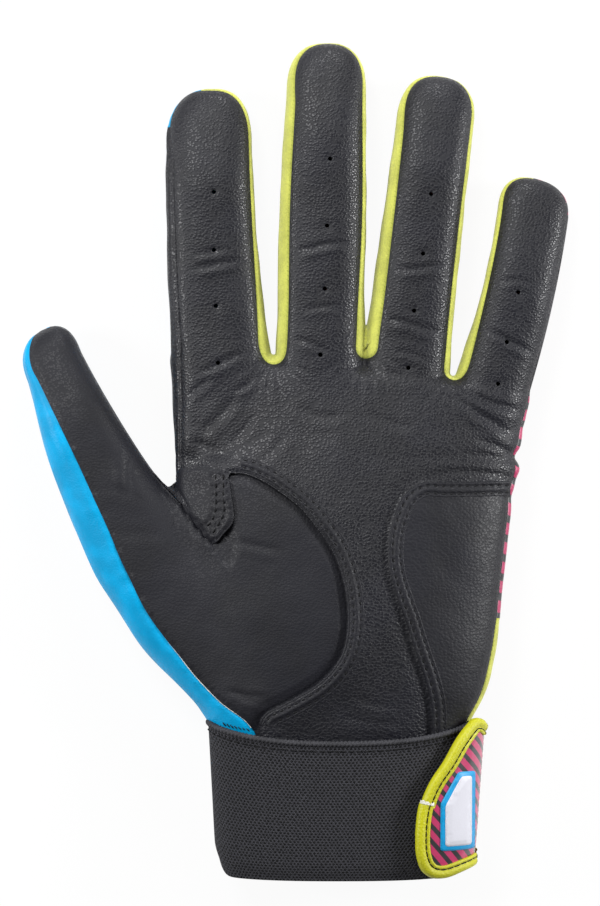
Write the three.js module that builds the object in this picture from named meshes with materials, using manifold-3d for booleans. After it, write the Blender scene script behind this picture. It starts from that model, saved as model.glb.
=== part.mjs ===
// Left-hand batting glove, lying on its back with the palm up.
// Millimetres. +X points to the little finger, +Y to the fingertips and +Z out of the palm.
// The origin is the middle of the glove's box, on the surface that it lies on.
import * as THREE from "three";
import { mergeVertices } from "three/addons/utils/BufferGeometryUtils.js";
import Module from "manifold-3d";

const wasm = await Module();
wasm.setup();

// Driving dimensions
const LEATHER = 1.0; // wall of the hand and finger panels
const SEAM_GAP = 0.3; // clearance between neighbouring pieces
const BACK_SEAM_Z = 6; // height of the seam between the back panels and the rest
const FLAT_DEPTH = 0.4; // how far the back of the hand is pressed flat on the table
const FINGER_SQUARENESS = 2.5; // superellipse power of a finger's section
const PALM_SQUARENESS = 2.4; // superellipse power of a hand section
const RING_POINTS = 16; // corners of a finger section
const PALM_POINTS = 24; // corners of a hand section

const PATCH_LEATHER = 1.0; // heel patch and thumb crotch patch
const CUFF_WEB = 1.8; // woven elastic
const CUFF_TOP_Y = -75.6;
const CUFF_BOTTOM_Y = -120;
const BODY_TUCK = 8; // length of the hand that is sewn inside the cuff
const SLIT_WIDTH = 6; // wrist opening on the back, under the strap
const SLIT_X = -2; // middle of that opening
const SLIT_TOP_Y = -64;

const LOOP_PILE = 0.6; // loop patch on the cuff
const HOOK_PILE = 0.6; // hook patch under the tab
const STRAP_WEB = 2.2; // strap on the back of the wrist
const TAB_BACKING = 1.2;
const TAB_FACE = 0.6; // printed face of the tab
const BINDING_WIDTH = 4.2; // folded lime edge of the tab
const BINDING_PROUD = 0.8; // how far the binding stands over the printed face
const LABEL_PLATE = 0.8;
const LABEL_FRAME = 0.5;
const LABEL_FRAME_WIDTH = 1.4;
const STRAP_ROOT_X = -14; // sewn end of the strap on the back
const STRAP_ROOT_SEW = 7; // length of that end that is sewn down on the cuff
const STRAP_TOP_Y = -77;
const STRAP_FOLD_Z = 17; // height of the line where the tab folds away

// The four fingers. bow is how far a digit's middle bends to the thumb's side, and reveal is how much of
// each side wall shows beside the front leather.
const FINGERS = [
  {
    name: "index",
    root: [-18.6, 6],
    tip: [-24.6, 107.4],
    bow: 2.2,
    half: [15.2, 13.4, 12.8, 11.6],
    height: [21, 17],
    tipRound: 13,
    fold: 30,
    reveal: { left: 3.4, right: 1.8, tip: 0.8 },
  },
  {
    name: "middle",
    root: [6.8, 6],
    tip: [9.2, 120],
    bow: 0.6,
    half: [14.4, 12.6, 12.2, 11],
    height: [22, 17.5],
    tipRound: 13,
    fold: 33,
    reveal: { left: 3.4, right: 1.5, tip: 0.7 },
  },
  {
    name: "ring",
    root: [29.4, 6],
    tip: [41.4, 111],
    bow: -0.8,
    half: [14.6, 12.3, 11.2, 10.3],
    height: [21, 17],
    tipRound: 12.5,
    fold: 34,
    reveal: { left: 3.2, right: 1.6, tip: 0.7 },
  },
  {
    name: "little",
    root: [48, -4],
    tip: [68.6, 81],
    bow: -4.8,
    half: [12.5, 11, 10.5, 10],
    height: [20, 15.5],
    tipRound: 11.5,
    fold: 33,
    reveal: { left: 2.6, right: -2, tip: 0.6 },
  },
];

const THUMB = {
  name: "thumb",
  root: [-14, -70],
  tip: [-72.4, 38.4],
  bow: 6.2,
  half: [12, 16.8, 13.4, 9.2],
  height: [27, 19],
  tipRound: 11,
  fold: 63,
};

// Finger crotches: the lowest point of the lime fold, its half width and its tilt from +Y in degrees.
const CROTCHES = [
  { name: "index_middle", at: [-6.2, 26.6], half: 4.4, tilt: 1, top: 39 },
  { name: "middle_ring", at: [20.0, 25.2], half: 4.2, tilt: -4, top: 42 },
  { name: "ring_little", at: [46.4, 20.4], half: 4.2, tilt: -9, top: 36 },
];

// Sections of the cuff's outer face: y, left, right, bottom and top.
const CUFF_SECTIONS = [
  [CUFF_BOTTOM_Y, -22.6, 46.4, 3.4, 29.6],
  [-112, -23.2, 47.4, 3.4, 30.4],
  [-94, -24.2, 48.8, 3.4, 31],
  [CUFF_TOP_Y, -25.2, 50.2, 3.4, 31.4],
];

// The hand's wrist end lies inside the top of the cuff, this much clear of the elastic.
const WRIST_EASE = 0.8;
const WRIST_TAPER = 1.2; // more room at the sewn-in end
const [, cuffLeft, cuffRight, cuffLow, cuffHigh] = CUFF_SECTIONS.at(-1);
const wristInset = CUFF_WEB + WRIST_EASE;

// Sections of the hand from the wrist to the finger roots: y, left, right, bottom and top.
const HAND_SECTIONS = [
  [
    CUFF_TOP_Y - BODY_TUCK,
    cuffLeft + wristInset + WRIST_TAPER,
    cuffRight - wristInset - WRIST_TAPER,
    cuffLow + wristInset,
    cuffHigh - wristInset - WRIST_TAPER,
  ],
  [
    CUFF_TOP_Y - 0.2,
    cuffLeft + wristInset,
    cuffRight - wristInset,
    cuffLow + wristInset,
    cuffHigh - wristInset,
  ],
  [-69, -25.4, 53.8, 3.2, 29.8],
  [-56, -29, 57.2, 0.6, 30.4],
  [-36, -32.4, 59.6, 0, 29.6],
  [-12, -34.4, 62.4, 0, 27.4],
  [8, -34.6, 65.4, 0, 24],
  [29.6, -34, 67.4, 0, 19.4],
];
const KNUCKLE_SLANT = 0.11; // the hand's far end falls this much towards the little finger

const THENAR_CENTRE = [-20.5, -39.4]; // middle of the round thumb seam
const THENAR_RADIUS = 37.4;
const SIDE_STRIP_X = -31; // edge of the black side strip beside the palm leather
const KNUCKLE_Y = 4; // lower edge of the stretch panel on the back
const GUSSET_X = 41; // inner edge of the lime wrist gusset
const GUSSET_TOP_Y = -44;
const ULNAR_SEAM_Z = 13; // the back panels climb to here on the little finger's side of the hand
const ULNAR_SEAM_X = 46;

const PALETTE = {
  blackLeather: { color: 0x25262b, roughness: 0.52 },
  limeSuede: { color: 0xbfd12e, roughness: 0.85 },
  blueSynthetic: { color: 0x0f9fe0, roughness: 0.6 },
  magentaPrint: { color: 0xb02a64, roughness: 0.65 },
  blackStretch: { color: 0x1c1c20, roughness: 0.8 },
  blackElastic: { color: 0x222226, roughness: 0.85 },
  limeBinding: { color: 0xc3d021, roughness: 0.45 },
  blackPile: { color: 0x17171a, roughness: 0.95 },
  greyLabel: { color: 0xc9cad2, roughness: 0.35 },
  blueLabel: { color: 0x149fd8, roughness: 0.35 },
};

const EVERYWHERE = 400; // half size of a cutter that reaches past the whole glove
const { degToRad, lerp } = THREE.MathUtils;

// A three.js geometry as a solid that can be joined and cut.
function solid(geometry) {
  const bare = new THREE.BufferGeometry();
  const flat = geometry.index ? geometry.toNonIndexed() : geometry;
  bare.setAttribute("position", flat.getAttribute("position"));
  const merged = mergeVertices(bare, 1e-4);
  return new wasm.Manifold(
    new wasm.Mesh({
      numProp: 3,
      vertProperties: merged.attributes.position.array,
      triVerts: new Uint32Array(merged.index.array),
    }),
  );
}

// A solid back as a three.js geometry.
function geometryOf(body) {
  const mesh = body.getMesh();
  const points = new Float32Array(mesh.numVert * 3);
  for (let i = 0; i < mesh.numVert; i++) {
    points.set(mesh.vertProperties.subarray(i * mesh.numProp, i * mesh.numProp + 3), i * 3);
  }
  const geometry = new THREE.BufferGeometry();
  geometry.setAttribute("position", new THREE.BufferAttribute(points, 3));
  geometry.setIndex(new THREE.BufferAttribute(new Uint32Array(mesh.triVerts), 1));
  return geometry;
}

// A closed loft through rings of points that run anticlockwise about the way along.
function loft(rings, startPole, endPole) {
  const count = rings[0].length;
  const points = rings.flat();
  points.push(startPole, endPole);
  const startIndex = points.length - 2;
  const endIndex = points.length - 1;
  const last = (rings.length - 1) * count;
  const faces = [];
  for (let j = 0; j < count; j++) {
    const k = (j + 1) % count;
    for (let i = 0; i < rings.length - 1; i++) {
      const here = i * count;
      const next = here + count;
      faces.push(here + j, here + k, next + k, here + j, next + k, next + j);
    }
    faces.push(startIndex, k, j, endIndex, last + j, last + k);
  }
  const geometry = new THREE.BufferGeometry().setFromPoints(points);
  geometry.setIndex(faces);
  return solid(geometry);
}

// A superellipse ring: across is the unit vector to its right, and +Z is up.
function ring(centre, across, halfWidth, halfHeight, power, count) {
  const bend = (value) => Math.sign(value) * Math.abs(value) ** (2 / power);
  return Array.from({ length: count }, (_, i) => {
    const turn = (i / count) * 2 * Math.PI;
    return centre
      .clone()
      .addScaledVector(across, halfWidth * bend(Math.sin(turn)))
      .add(new THREE.Vector3(0, 0, halfHeight * bend(Math.cos(turn))));
  });
}

// A loft through sections of y, left, right, bottom and top, grown outwards by grow. Its near end can be
// stretched, and its far end slanted across x.
function sectionLoft(sections, grow, power, stretchStart = 0, slant = 0) {
  const acrossX = new THREE.Vector3(1, 0, 0);
  const rings = sections.map(([y, left, right, bottom, top], i) => {
    const isLast = i === sections.length - 1;
    const place = i === 0 ? y - stretchStart : y + (isLast ? grow : 0);
    const centre = new THREE.Vector3((left + right) / 2, place, (bottom + top) / 2);
    const halfWidth = (right - left) / 2 + grow;
    const halfHeight = (top - bottom) / 2 + grow;
    const points = ring(centre, acrossX, halfWidth, halfHeight, power, PALM_POINTS);
    return points.map((p) => p.setY(p.y - (isLast ? slant * p.x : 0)));
  });
  const middle = (points) =>
    points.reduce((sum, p) => sum.add(p), new THREE.Vector3()).divideScalar(points.length);
  return loft(rings, middle(rings[0]), middle(rings.at(-1)));
}

// One finger or the thumb: a local frame along its length, with its lofts and cutters.
class Digit {
  constructor(spec) {
    Object.assign(this, spec);
    this.start = new THREE.Vector3(...spec.root, 0);
    this.end = new THREE.Vector3(...spec.tip, 0);
    this.along = this.end.clone().sub(this.start);
    this.length = this.along.length();
    this.along.normalize();
    this.across = new THREE.Vector3(this.along.y, -this.along.x, 0);
  }

  // The point a distance s along the digit, v to its right and z up.
  at(s, v = 0, z = 0) {
    const share = s / this.length;
    const sideways = v - 4 * this.bow * share * (1 - share);
    return this.start
      .clone()
      .addScaledVector(this.along, s)
      .addScaledVector(this.across, sideways)
      .setZ(z);
  }

  // Half width before the tip's round, through four even stations.
  halfWidth(s) {
    const reach = this.length - this.tipRound;
    const place = THREE.MathUtils.clamp(s / reach, 0, 1) * (this.half.length - 1);
    const i = Math.min(Math.floor(place), this.half.length - 2);
    return lerp(this.half[i], this.half[i + 1], place - i);
  }

  heightAt(s) {
    return lerp(this.height[0], this.height[1], Math.min(1, s / (this.length - this.tipRound)));
  }

  // The digit as a solid, grown outwards by grow.
  body(grow) {
    const reach = this.length - this.tipRound;
    const straight = [0, 0.33, 0.66].map((share) => ({ s: share * reach, scale: 1 }));
    const round = [0, 30, 54, 73].map((degrees) => ({
      s: reach + (this.tipRound + grow) * Math.sin(degToRad(degrees)),
      scale: Math.cos(degToRad(degrees)),
    }));
    const rings = [...straight, ...round].map(({ s, scale }) => {
      const height = this.heightAt(s);
      const halfWidth = (this.halfWidth(s) + grow) * scale;
      const halfHeight = (height / 2 + grow) * scale;
      const centre = this.at(s, 0, height / 2);
      return ring(centre, this.across, halfWidth, halfHeight, FINGER_SQUARENESS, RING_POINTS);
    });
    const tipMiddle = this.heightAt(this.length) / 2;
    const startMiddle = this.heightAt(0) / 2;
    return loft(rings, this.at(0, 0, startMiddle), this.at(this.length + grow, 0, tipMiddle));
  }

  // A box in the digit's frame, from s0 to s1 along it, v0 to v1 across and z0 to z1 up.
  box(s0, s1, v0, v1, z0 = -EVERYWHERE, z1 = EVERYWHERE) {
    const corner = (s, v) => {
      const p = this.start.clone().addScaledVector(this.along, s).addScaledVector(this.across, v);
      return new THREE.Vector2(p.x, p.y);
    };
    return prism(new THREE.Shape([corner(s0, v0), corner(s0, v1), corner(s1, v1), corner(s1, v0)]), z0, z1);
  }

  // The cut edge of the front leather, grown by grow: straight sides and a round tip.
  frontOutline(grow) {
    const reach = this.length - this.tipRound;
    const place = (s, v) => {
      const p = this.at(s, v);
      return new THREE.Vector2(p.x, p.y);
    };
    const left = (s) => -this.halfWidth(s) + this.reveal.left - grow;
    const right = (s) => this.halfWidth(s) - this.reveal.right + grow;
    const stations = [-this.length, 0, 0.33, 0.66, 1].map((share) => Math.max(share * reach, -this.length));
    const rightSide = stations.map((s) => place(s, right(s)));
    const leftSide = stations.map((s) => place(s, left(s))).reverse();
    const middle = (left(reach) + right(reach)) / 2;
    const spread = (right(reach) - left(reach)) / 2;
    const rise = this.tipRound - this.reveal.tip + grow;
    const tip = [22, 45, 68, 90, 112, 135, 158].map((degrees) => {
      const turn = degToRad(degrees);
      return place(reach + rise * Math.sin(turn), middle + spread * Math.cos(turn));
    });
    return new THREE.Shape([...rightSide, ...tip, ...leftSide]);
  }
}

// A plan outline made solid from z0 up to z1.
function prism(shape, z0, z1) {
  const geometry = new THREE.ExtrudeGeometry(shape, {
    depth: z1 - z0,
    bevelEnabled: false,
    curveSegments: 10,
  });
  geometry.translate(0, 0, z0);
  return solid(geometry);
}

// An upright box between two plan corners.
function block(x0, y0, x1, y1, z0 = -EVERYWHERE, z1 = EVERYWHERE) {
  const geometry = new THREE.BoxGeometry(x1 - x0, y1 - y0, z1 - z0);
  geometry.translate((x0 + x1) / 2, (y0 + y1) / 2, (z0 + z1) / 2);
  return solid(geometry);
}

const above = (z) => block(-EVERYWHERE, -EVERYWHERE, EVERYWHERE, EVERYWHERE, z, EVERYWHERE);
const below = (z) => block(-EVERYWHERE, -EVERYWHERE, EVERYWHERE, EVERYWHERE, -EVERYWHERE, z);
const joined = (bodies) => bodies.reduce((sum, body) => sum.add(body));
const HALF_GAP = SEAM_GAP / 2;

const glove = new THREE.Group();

// Adds one named piece. Crumbs that a cut leaves beside the piece are dropped.
function addPiece(name, body, finish) {
  const largest = body.decompose().reduce((a, b) => (b.volume() > a.volume() ? b : a));
  const material = new THREE.MeshStandardMaterial({ ...PALETTE[finish], metalness: 0 });
  const mesh = new THREE.Mesh(geometryOf(largest), material);
  mesh.name = name;
  glove.add(mesh);
}

// The whole form: one skin over the hand and the digits, and the hollow that the hand fills.
const fingers = FINGERS.map((spec) => new Digit(spec));
const thumb = new Digit(THUMB);
const digits = [...fingers, thumb];
const HOLLOW_RUN_OUT = 20; // the hollow runs past the wrist end by this much

function handForm(grow, stretchStart) {
  const palm = sectionLoft(HAND_SECTIONS, grow, PALM_SQUARENESS, stretchStart, KNUCKLE_SLANT);
  return joined([palm, ...digits.map((digit) => digit.body(grow))]);
}

const tableTop = above(0);
const pressed = (body) => body.translate([0, 0, -FLAT_DEPTH]).intersect(tableTop);
const skin = pressed(handForm(0, 0));
const hollow = handForm(-LEATHER, HOLLOW_RUN_OUT).translate([0, 0, -FLAT_DEPTH]);
const shell = skin.subtract(hollow);

// Fingers: a front leather, a back panel and a wall on each side that has one.
const SIDE_WALLS = {
  index: { left: ["index_outer_side", "blackLeather"], right: ["index_fourchette", "limeSuede"] },
  middle: {
    left: ["middle_fourchette_radial", "limeSuede"],
    right: ["middle_fourchette_ulnar", "limeSuede"],
  },
  ring: { left: ["ring_fourchette_radial", "limeSuede"], right: ["ring_fourchette_ulnar", "limeSuede"] },
  little: { left: ["little_fourchette", "limeSuede"] },
};
const BACK_FINISH = {
  index: "blueSynthetic",
  middle: "magentaPrint",
  ring: "magentaPrint",
  little: "magentaPrint",
};
const DIGIT_REACH = 60; // half width of the boxes that part a digit from the hand

function beyondFold(digit, gap) {
  return digit.box(digit.fold + gap, digit.length + DIGIT_REACH, -DIGIT_REACH, DIGIT_REACH);
}

for (const finger of fingers) {
  const own = pressed(finger.body(0)).subtract(hollow).intersect(beyondFold(finger, HALF_GAP));
  const front = prism(finger.frontOutline(0), BACK_SEAM_Z + HALF_GAP, EVERYWHERE);
  const frontRoom = prism(finger.frontOutline(SEAM_GAP), BACK_SEAM_Z, EVERYWHERE);
  addPiece(`${finger.name}_front`, own.intersect(front), "blackLeather");
  addPiece(`${finger.name}_back`, own.intersect(below(BACK_SEAM_Z - HALF_GAP)), BACK_FINISH[finger.name]);
  const walls = own.subtract(frontRoom).intersect(above(BACK_SEAM_Z + HALF_GAP));
  for (const [side, [name, finish]] of Object.entries(SIDE_WALLS[finger.name])) {
    const [v0, v1] = side === "left" ? [-DIGIT_REACH, -HALF_GAP] : [HALF_GAP, DIGIT_REACH];
    addPiece(name, walls.intersect(finger.box(0, finger.length + DIGIT_REACH, v0, v1)), finish);
  }
}

// Thumb: leather in front, blue behind. The blue laps over the outer edge on to the front.
// The seam is a plan curve from the tip to the wrist, moved to the left by grow.
function thumbFrontOutline(grow) {
  const shape = new THREE.Shape();
  shape.moveTo(-60 - grow, 80);
  shape.lineTo(-76.6 - grow, 30);
  shape.quadraticCurveTo(-69 - grow, 8, -57 - grow, -18);
  shape.quadraticCurveTo(-42 - grow, -55, -11 - grow, -80);
  shape.lineTo(-11 - grow, -95);
  shape.lineTo(EVERYWHERE, -95);
  shape.lineTo(EVERYWHERE, 80);
  shape.closePath();
  return shape;
}

const thumbOwn = pressed(thumb.body(0)).subtract(hollow).intersect(beyondFold(thumb, HALF_GAP));
const thumbFront = prism(thumbFrontOutline(0), BACK_SEAM_Z + HALF_GAP, EVERYWHERE);
const thumbFrontRoom = prism(thumbFrontOutline(SEAM_GAP), BACK_SEAM_Z - HALF_GAP, EVERYWHERE);
addPiece("thumb_front", thumbOwn.intersect(thumbFront), "blackLeather");
addPiece("thumb_back", thumbOwn.subtract(thumbFrontRoom), "blueSynthetic");

// Hand: what is left of the shell below the folds.
const digitRoom = digits.map((digit) => digit.body(SEAM_GAP).intersect(beyondFold(digit, -HALF_GAP)));
const hand = digitRoom.reduce((body, room) => body.subtract(room.translate([0, 0, -FLAT_DEPTH])), shell);
const ulnarSide = (grow) =>
  block(ULNAR_SEAM_X - grow, -EVERYWHERE, EVERYWHERE, KNUCKLE_Y + grow, -EVERYWHERE, ULNAR_SEAM_Z + grow);
const handFront = hand.intersect(above(BACK_SEAM_Z + HALF_GAP)).subtract(ulnarSide(HALF_GAP));
const handBack = hand.intersect(below(BACK_SEAM_Z - HALF_GAP).add(ulnarSide(-HALF_GAP)));

// A crotch's lime fold in plan: round below, open above.
function crotchOutline({ at: [x, y], half, tilt, top }, grow) {
  const radius = half + grow;
  const shape = new THREE.Shape();
  shape.absarc(0, half, radius, Math.PI, 2 * Math.PI);
  shape.lineTo(radius, top - y);
  shape.lineTo(-radius, top - y);
  shape.closePath();
  const turn = degToRad(tilt);
  const points = shape.getPoints(8).map((p) => p.rotateAround(new THREE.Vector2(), turn));
  return new THREE.Shape(points.map((p) => new THREE.Vector2(p.x + x, p.y + y)));
}

// The thenar leather in plan: inside the round seam, and all that lies to the left of it.
function thenarOutline(grow) {
  const [x, y] = THENAR_CENTRE;
  const radius = THENAR_RADIUS + grow;
  const reach = EVERYWHERE;
  const top = degToRad(92);
  const wrist = degToRad(-68);
  const shape = new THREE.Shape();
  shape.moveTo(-reach, y + radius * Math.sin(top));
  shape.lineTo(x + radius * Math.cos(top), y + radius * Math.sin(top));
  shape.absarc(x, y, radius, top, wrist, true);
  shape.lineTo(-8 + grow, -reach);
  shape.lineTo(-reach, -reach);
  shape.closePath();
  return shape;
}

const crotchRoom = joined(CROTCHES.map((crotch) => prism(crotchOutline(crotch, SEAM_GAP), 0, EVERYWHERE)));
const sideStripRoom = block(-EVERYWHERE, -14, SIDE_STRIP_X + SEAM_GAP, EVERYWHERE);
const thenarRoom = prism(thenarOutline(SEAM_GAP), 0, EVERYWHERE);
const palmPanel = handFront.subtract(crotchRoom).subtract(sideStripRoom).subtract(thenarRoom);
addPiece("palm_panel", palmPanel, "blackLeather");

const thenarZone = handFront.intersect(prism(thenarOutline(0), 0, EVERYWHERE));
const wristStripRoom = block(-EVERYWHERE, -2, SIDE_STRIP_X + SEAM_GAP, EVERYWHERE);
addPiece("thenar_panel", thenarZone.subtract(wristStripRoom).intersect(thumbFront), "blackLeather");

for (const crotch of CROTCHES) {
  const fold = handFront.intersect(prism(crotchOutline(crotch, 0), 0, EVERYWHERE));
  addPiece(`${crotch.name}_fourchette_fold`, fold, "limeSuede");
}
addPiece(
  "index_outer_side_base",
  handFront.subtract(thenarRoom).intersect(block(-EVERYWHERE, -14, SIDE_STRIP_X, EVERYWHERE)),
  "blackLeather",
);

// Back of the hand, with the slit that opens at the wrist.
const slit = block(SLIT_X - SLIT_WIDTH / 2, -EVERYWHERE, SLIT_X + SLIT_WIDTH / 2, SLIT_TOP_Y);
const backOfThumb = new THREE.Shape([
  new THREE.Vector2(-EVERYWHERE, 4),
  new THREE.Vector2(-36, 4),
  new THREE.Vector2(-33, -14),
  new THREE.Vector2(-12, -84),
  new THREE.Vector2(-12, -EVERYWHERE),
  new THREE.Vector2(-EVERYWHERE, -EVERYWHERE),
]);
const thumbBackZone = prism(backOfThumb, -EVERYWHERE, EVERYWHERE);
const thumbBackRoom = thumbBackZone.translate([SEAM_GAP, SEAM_GAP, 0]);
const gusset = block(GUSSET_X, -EVERYWHERE, EVERYWHERE, GUSSET_TOP_Y);
const gussetRoom = block(GUSSET_X - SEAM_GAP, -EVERYWHERE, EVERYWHERE, GUSSET_TOP_Y + SEAM_GAP);
const knuckles = block(-EVERYWHERE, KNUCKLE_Y, EVERYWHERE, EVERYWHERE);
const knuckleRoom = block(-EVERYWHERE, KNUCKLE_Y - SEAM_GAP, EVERYWHERE, EVERYWHERE);
const mainBack = handBack.subtract(thumbBackRoom);
addPiece("hand_back", mainBack.subtract(gussetRoom).subtract(knuckleRoom).subtract(slit), "magentaPrint");
addPiece("knuckle_stretch_panel", mainBack.intersect(knuckles), "blackStretch");
addPiece("ulnar_gusset", mainBack.intersect(gusset), "limeSuede");
addPiece("thumb_back_base", hand.intersect(thumbBackZone).subtract(thumbFrontRoom), "blueSynthetic");

// Patches sewn on over the palm leather.
const patchLayer = pressed(handForm(SEAM_GAP + PATCH_LEATHER, 0)).subtract(
  handForm(SEAM_GAP, HOLLOW_RUN_OUT).translate([0, 0, -FLAT_DEPTH]),
);
const heelPatch = new THREE.Shape();
heelPatch.moveTo(60.6, -8);
heelPatch.lineTo(38, -8);
heelPatch.quadraticCurveTo(32, -8, 30.4, -15);
heelPatch.lineTo(27.4, -26);
heelPatch.quadraticCurveTo(26.4, -30, 28.4, -34);
heelPatch.quadraticCurveTo(39, -58, 40, CUFF_TOP_Y + 1);
heelPatch.lineTo(49, CUFF_TOP_Y + 1);
heelPatch.quadraticCurveTo(57, -45, 60.6, -8);
addPiece("heel_patch", patchLayer.intersect(prism(heelPatch, BACK_SEAM_Z + 6, EVERYWHERE)), "blackLeather");

const crotchPatch = new THREE.Shape();
crotchPatch.moveTo(-19.6, -4.4);
crotchPatch.lineTo(-18.2, -17.6);
crotchPatch.lineTo(-24.6, -24.4);
crotchPatch.lineTo(-31.6, -15);
crotchPatch.quadraticCurveTo(-28, -8, -27, -4.4);
crotchPatch.closePath();
const crotchPatchCut = prism(crotchPatch, BACK_SEAM_Z + 6, EVERYWHERE);
addPiece("thumb_crotch_patch", patchLayer.intersect(crotchPatchCut), "blackLeather");

// Cuff: a woven elastic band, open at the slit.
const cuffForm = (grow) => sectionLoft(CUFF_SECTIONS, grow, PALM_SQUARENESS);
const cuffStart = [CUFF_BOTTOM_Y - HOLLOW_RUN_OUT, ...CUFF_SECTIONS[0].slice(1)];
const cuffEnd = [CUFF_TOP_Y + HOLLOW_RUN_OUT, ...CUFF_SECTIONS.at(-1).slice(1)];
const cuffCore = (grow) => sectionLoft([cuffStart, ...CUFF_SECTIONS, cuffEnd], grow, PALM_SQUARENESS);
const SLIT_TOP_Z = 12; // above this the cuff runs round unbroken
const slitLeft = SLIT_X - SLIT_WIDTH / 2;
const cuffSlit = block(slitLeft, -EVERYWHERE, slitLeft + SLIT_WIDTH, EVERYWHERE, -EVERYWHERE, SLIT_TOP_Z);
addPiece("cuff_elastic", cuffForm(0).subtract(cuffCore(-CUFF_WEB)).subtract(cuffSlit), "blackElastic");

// Strap: layers over the cuff, each as deep as the pieces below it need.
const LOOP_FROM = SEAM_GAP;
const LOOP_TO = LOOP_FROM + LOOP_PILE;
const STRAP_FROM = LOOP_TO + SEAM_GAP;
const HOOK_TO = STRAP_FROM + HOOK_PILE;
const TAB_FROM = HOOK_TO + SEAM_GAP;
const TAB_TO = TAB_FROM + TAB_BACKING;
const FACE_FROM = TAB_TO + SEAM_GAP;
const FACE_TO = FACE_FROM + TAB_FACE;
const LABEL_FROM = FACE_TO + SEAM_GAP;
const layer = (from, to) => cuffForm(to).subtract(cuffCore(from));

// The tab in plan, drawn in from its edge by inset: a slanting upper edge and a round lower end.
function tabOutline(inset) {
  const shape = new THREE.Shape();
  shape.moveTo(EVERYWHERE, STRAP_TOP_Y - inset);
  shape.lineTo(50.4, STRAP_TOP_Y - inset);
  shape.lineTo(36 + inset, -97.6 - inset * 0.4);
  shape.lineTo(35.4 + inset, -113);
  shape.quadraticCurveTo(35.6 + inset, CUFF_BOTTOM_Y + 1 + inset, 42, CUFF_BOTTOM_Y + 1 + inset);
  shape.lineTo(EVERYWHERE, CUFF_BOTTOM_Y + 1 + inset);
  shape.closePath();
  return shape;
}

const overFold = above(STRAP_FOLD_Z + HALF_GAP);
const tabCut = (inset) => prism(tabOutline(inset), -EVERYWHERE, EVERYWHERE).intersect(overFold);
const strapBand = block(STRAP_ROOT_X, CUFF_BOTTOM_Y + 3, EVERYWHERE, STRAP_TOP_Y);
const strapRun = strapBand.intersect(below(STRAP_FOLD_Z - HALF_GAP));
const strapSewnEnd = block(STRAP_ROOT_X, -EVERYWHERE, STRAP_ROOT_X + STRAP_ROOT_SEW, EVERYWHERE);
const strapBody = layer(STRAP_FROM, STRAP_FROM + STRAP_WEB);
const strapFoot = layer(SEAM_GAP, STRAP_FROM + STRAP_WEB).intersect(strapSewnEnd);
addPiece("strap_base", strapBody.add(strapFoot).intersect(strapRun), "magentaPrint");

const loopRun = block(37.5, CUFF_BOTTOM_Y + 4, EVERYWHERE, STRAP_TOP_Y - 3);
addPiece("loop_patch", layer(LOOP_FROM, LOOP_TO).intersect(loopRun), "blackPile");
const hookRun = block(-EVERYWHERE, -EVERYWHERE, 46, EVERYWHERE);
addPiece("hook_patch", layer(STRAP_FROM, HOOK_TO).intersect(tabCut(3)).intersect(hookRun), "blackPile");
addPiece("tab_backing", layer(TAB_FROM, TAB_TO).intersect(tabCut(0)), "blackStretch");
const faceCut = tabCut(BINDING_WIDTH + SEAM_GAP);
addPiece("tab_face", layer(FACE_FROM, FACE_TO).intersect(faceCut), "magentaPrint");
const bindingCut = tabCut(0).subtract(tabCut(BINDING_WIDTH));
addPiece("tab_binding", layer(FACE_FROM, FACE_TO + BINDING_PROUD).intersect(bindingCut), "limeBinding");

// The bare label on the tab: a plain plate in a narrow frame, one corner cut off along the tab's slant.
const LABEL = { left: 42.4, right: 49.4, low: -112, high: -91, cut: [5, 8.9] };

function labelOutline(grow) {
  const left = LABEL.left - grow;
  const right = LABEL.right + grow;
  const low = LABEL.low - grow;
  const high = LABEL.high + grow;
  const corner = 1 + grow;
  const shape = new THREE.Shape();
  shape.moveTo(left + corner, low);
  shape.lineTo(right - corner, low);
  shape.absarc(right - corner, low + corner, corner, -Math.PI / 2, 0);
  shape.absarc(right - corner, high - corner, corner, 0, Math.PI / 2);
  shape.lineTo(left + LABEL.cut[0] + grow * 0.4, high);
  shape.lineTo(left, high - LABEL.cut[1] - grow * 0.6);
  shape.absarc(left + corner, low + corner, corner, Math.PI, 1.5 * Math.PI);
  return shape;
}

const labelCut = (grow) => prism(labelOutline(grow), STRAP_FOLD_Z + 4, EVERYWHERE);
const frameCut = labelCut(SEAM_GAP + LABEL_FRAME_WIDTH).subtract(labelCut(SEAM_GAP));
addPiece("label_plate", layer(LABEL_FROM, LABEL_FROM + LABEL_PLATE).intersect(labelCut(0)), "greyLabel");
addPiece("label_frame", layer(LABEL_FROM, LABEL_FROM + LABEL_FRAME).intersect(frameCut), "blueLabel");

export default glove;
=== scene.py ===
"""Batting glove: a sewn leather glove lying on its back, with its cuff, strap and stage."""

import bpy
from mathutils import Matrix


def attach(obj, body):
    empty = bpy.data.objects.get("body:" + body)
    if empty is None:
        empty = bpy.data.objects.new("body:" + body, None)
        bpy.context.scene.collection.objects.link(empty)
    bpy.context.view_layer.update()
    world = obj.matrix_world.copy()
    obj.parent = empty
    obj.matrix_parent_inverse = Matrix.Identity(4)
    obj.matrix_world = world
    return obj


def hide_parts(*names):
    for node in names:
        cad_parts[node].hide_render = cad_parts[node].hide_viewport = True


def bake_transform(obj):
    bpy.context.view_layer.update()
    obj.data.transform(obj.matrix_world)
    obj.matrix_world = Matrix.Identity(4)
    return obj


bl_info = {
    "name": "Batting Glove",
    "version": (1, 0, 0),
    "blender": (4, 5, 0),
    "location": "3D View > Sidebar > Glove",
    "description": "Sews a batting glove from its panels, thread, cuff and strap",
    "category": "Add Mesh",
}

import math
from functools import lru_cache

import bpy
import numpy as np
from mathutils import Vector, noise
from mathutils.geometry import delaunay_2d_cdt

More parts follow.
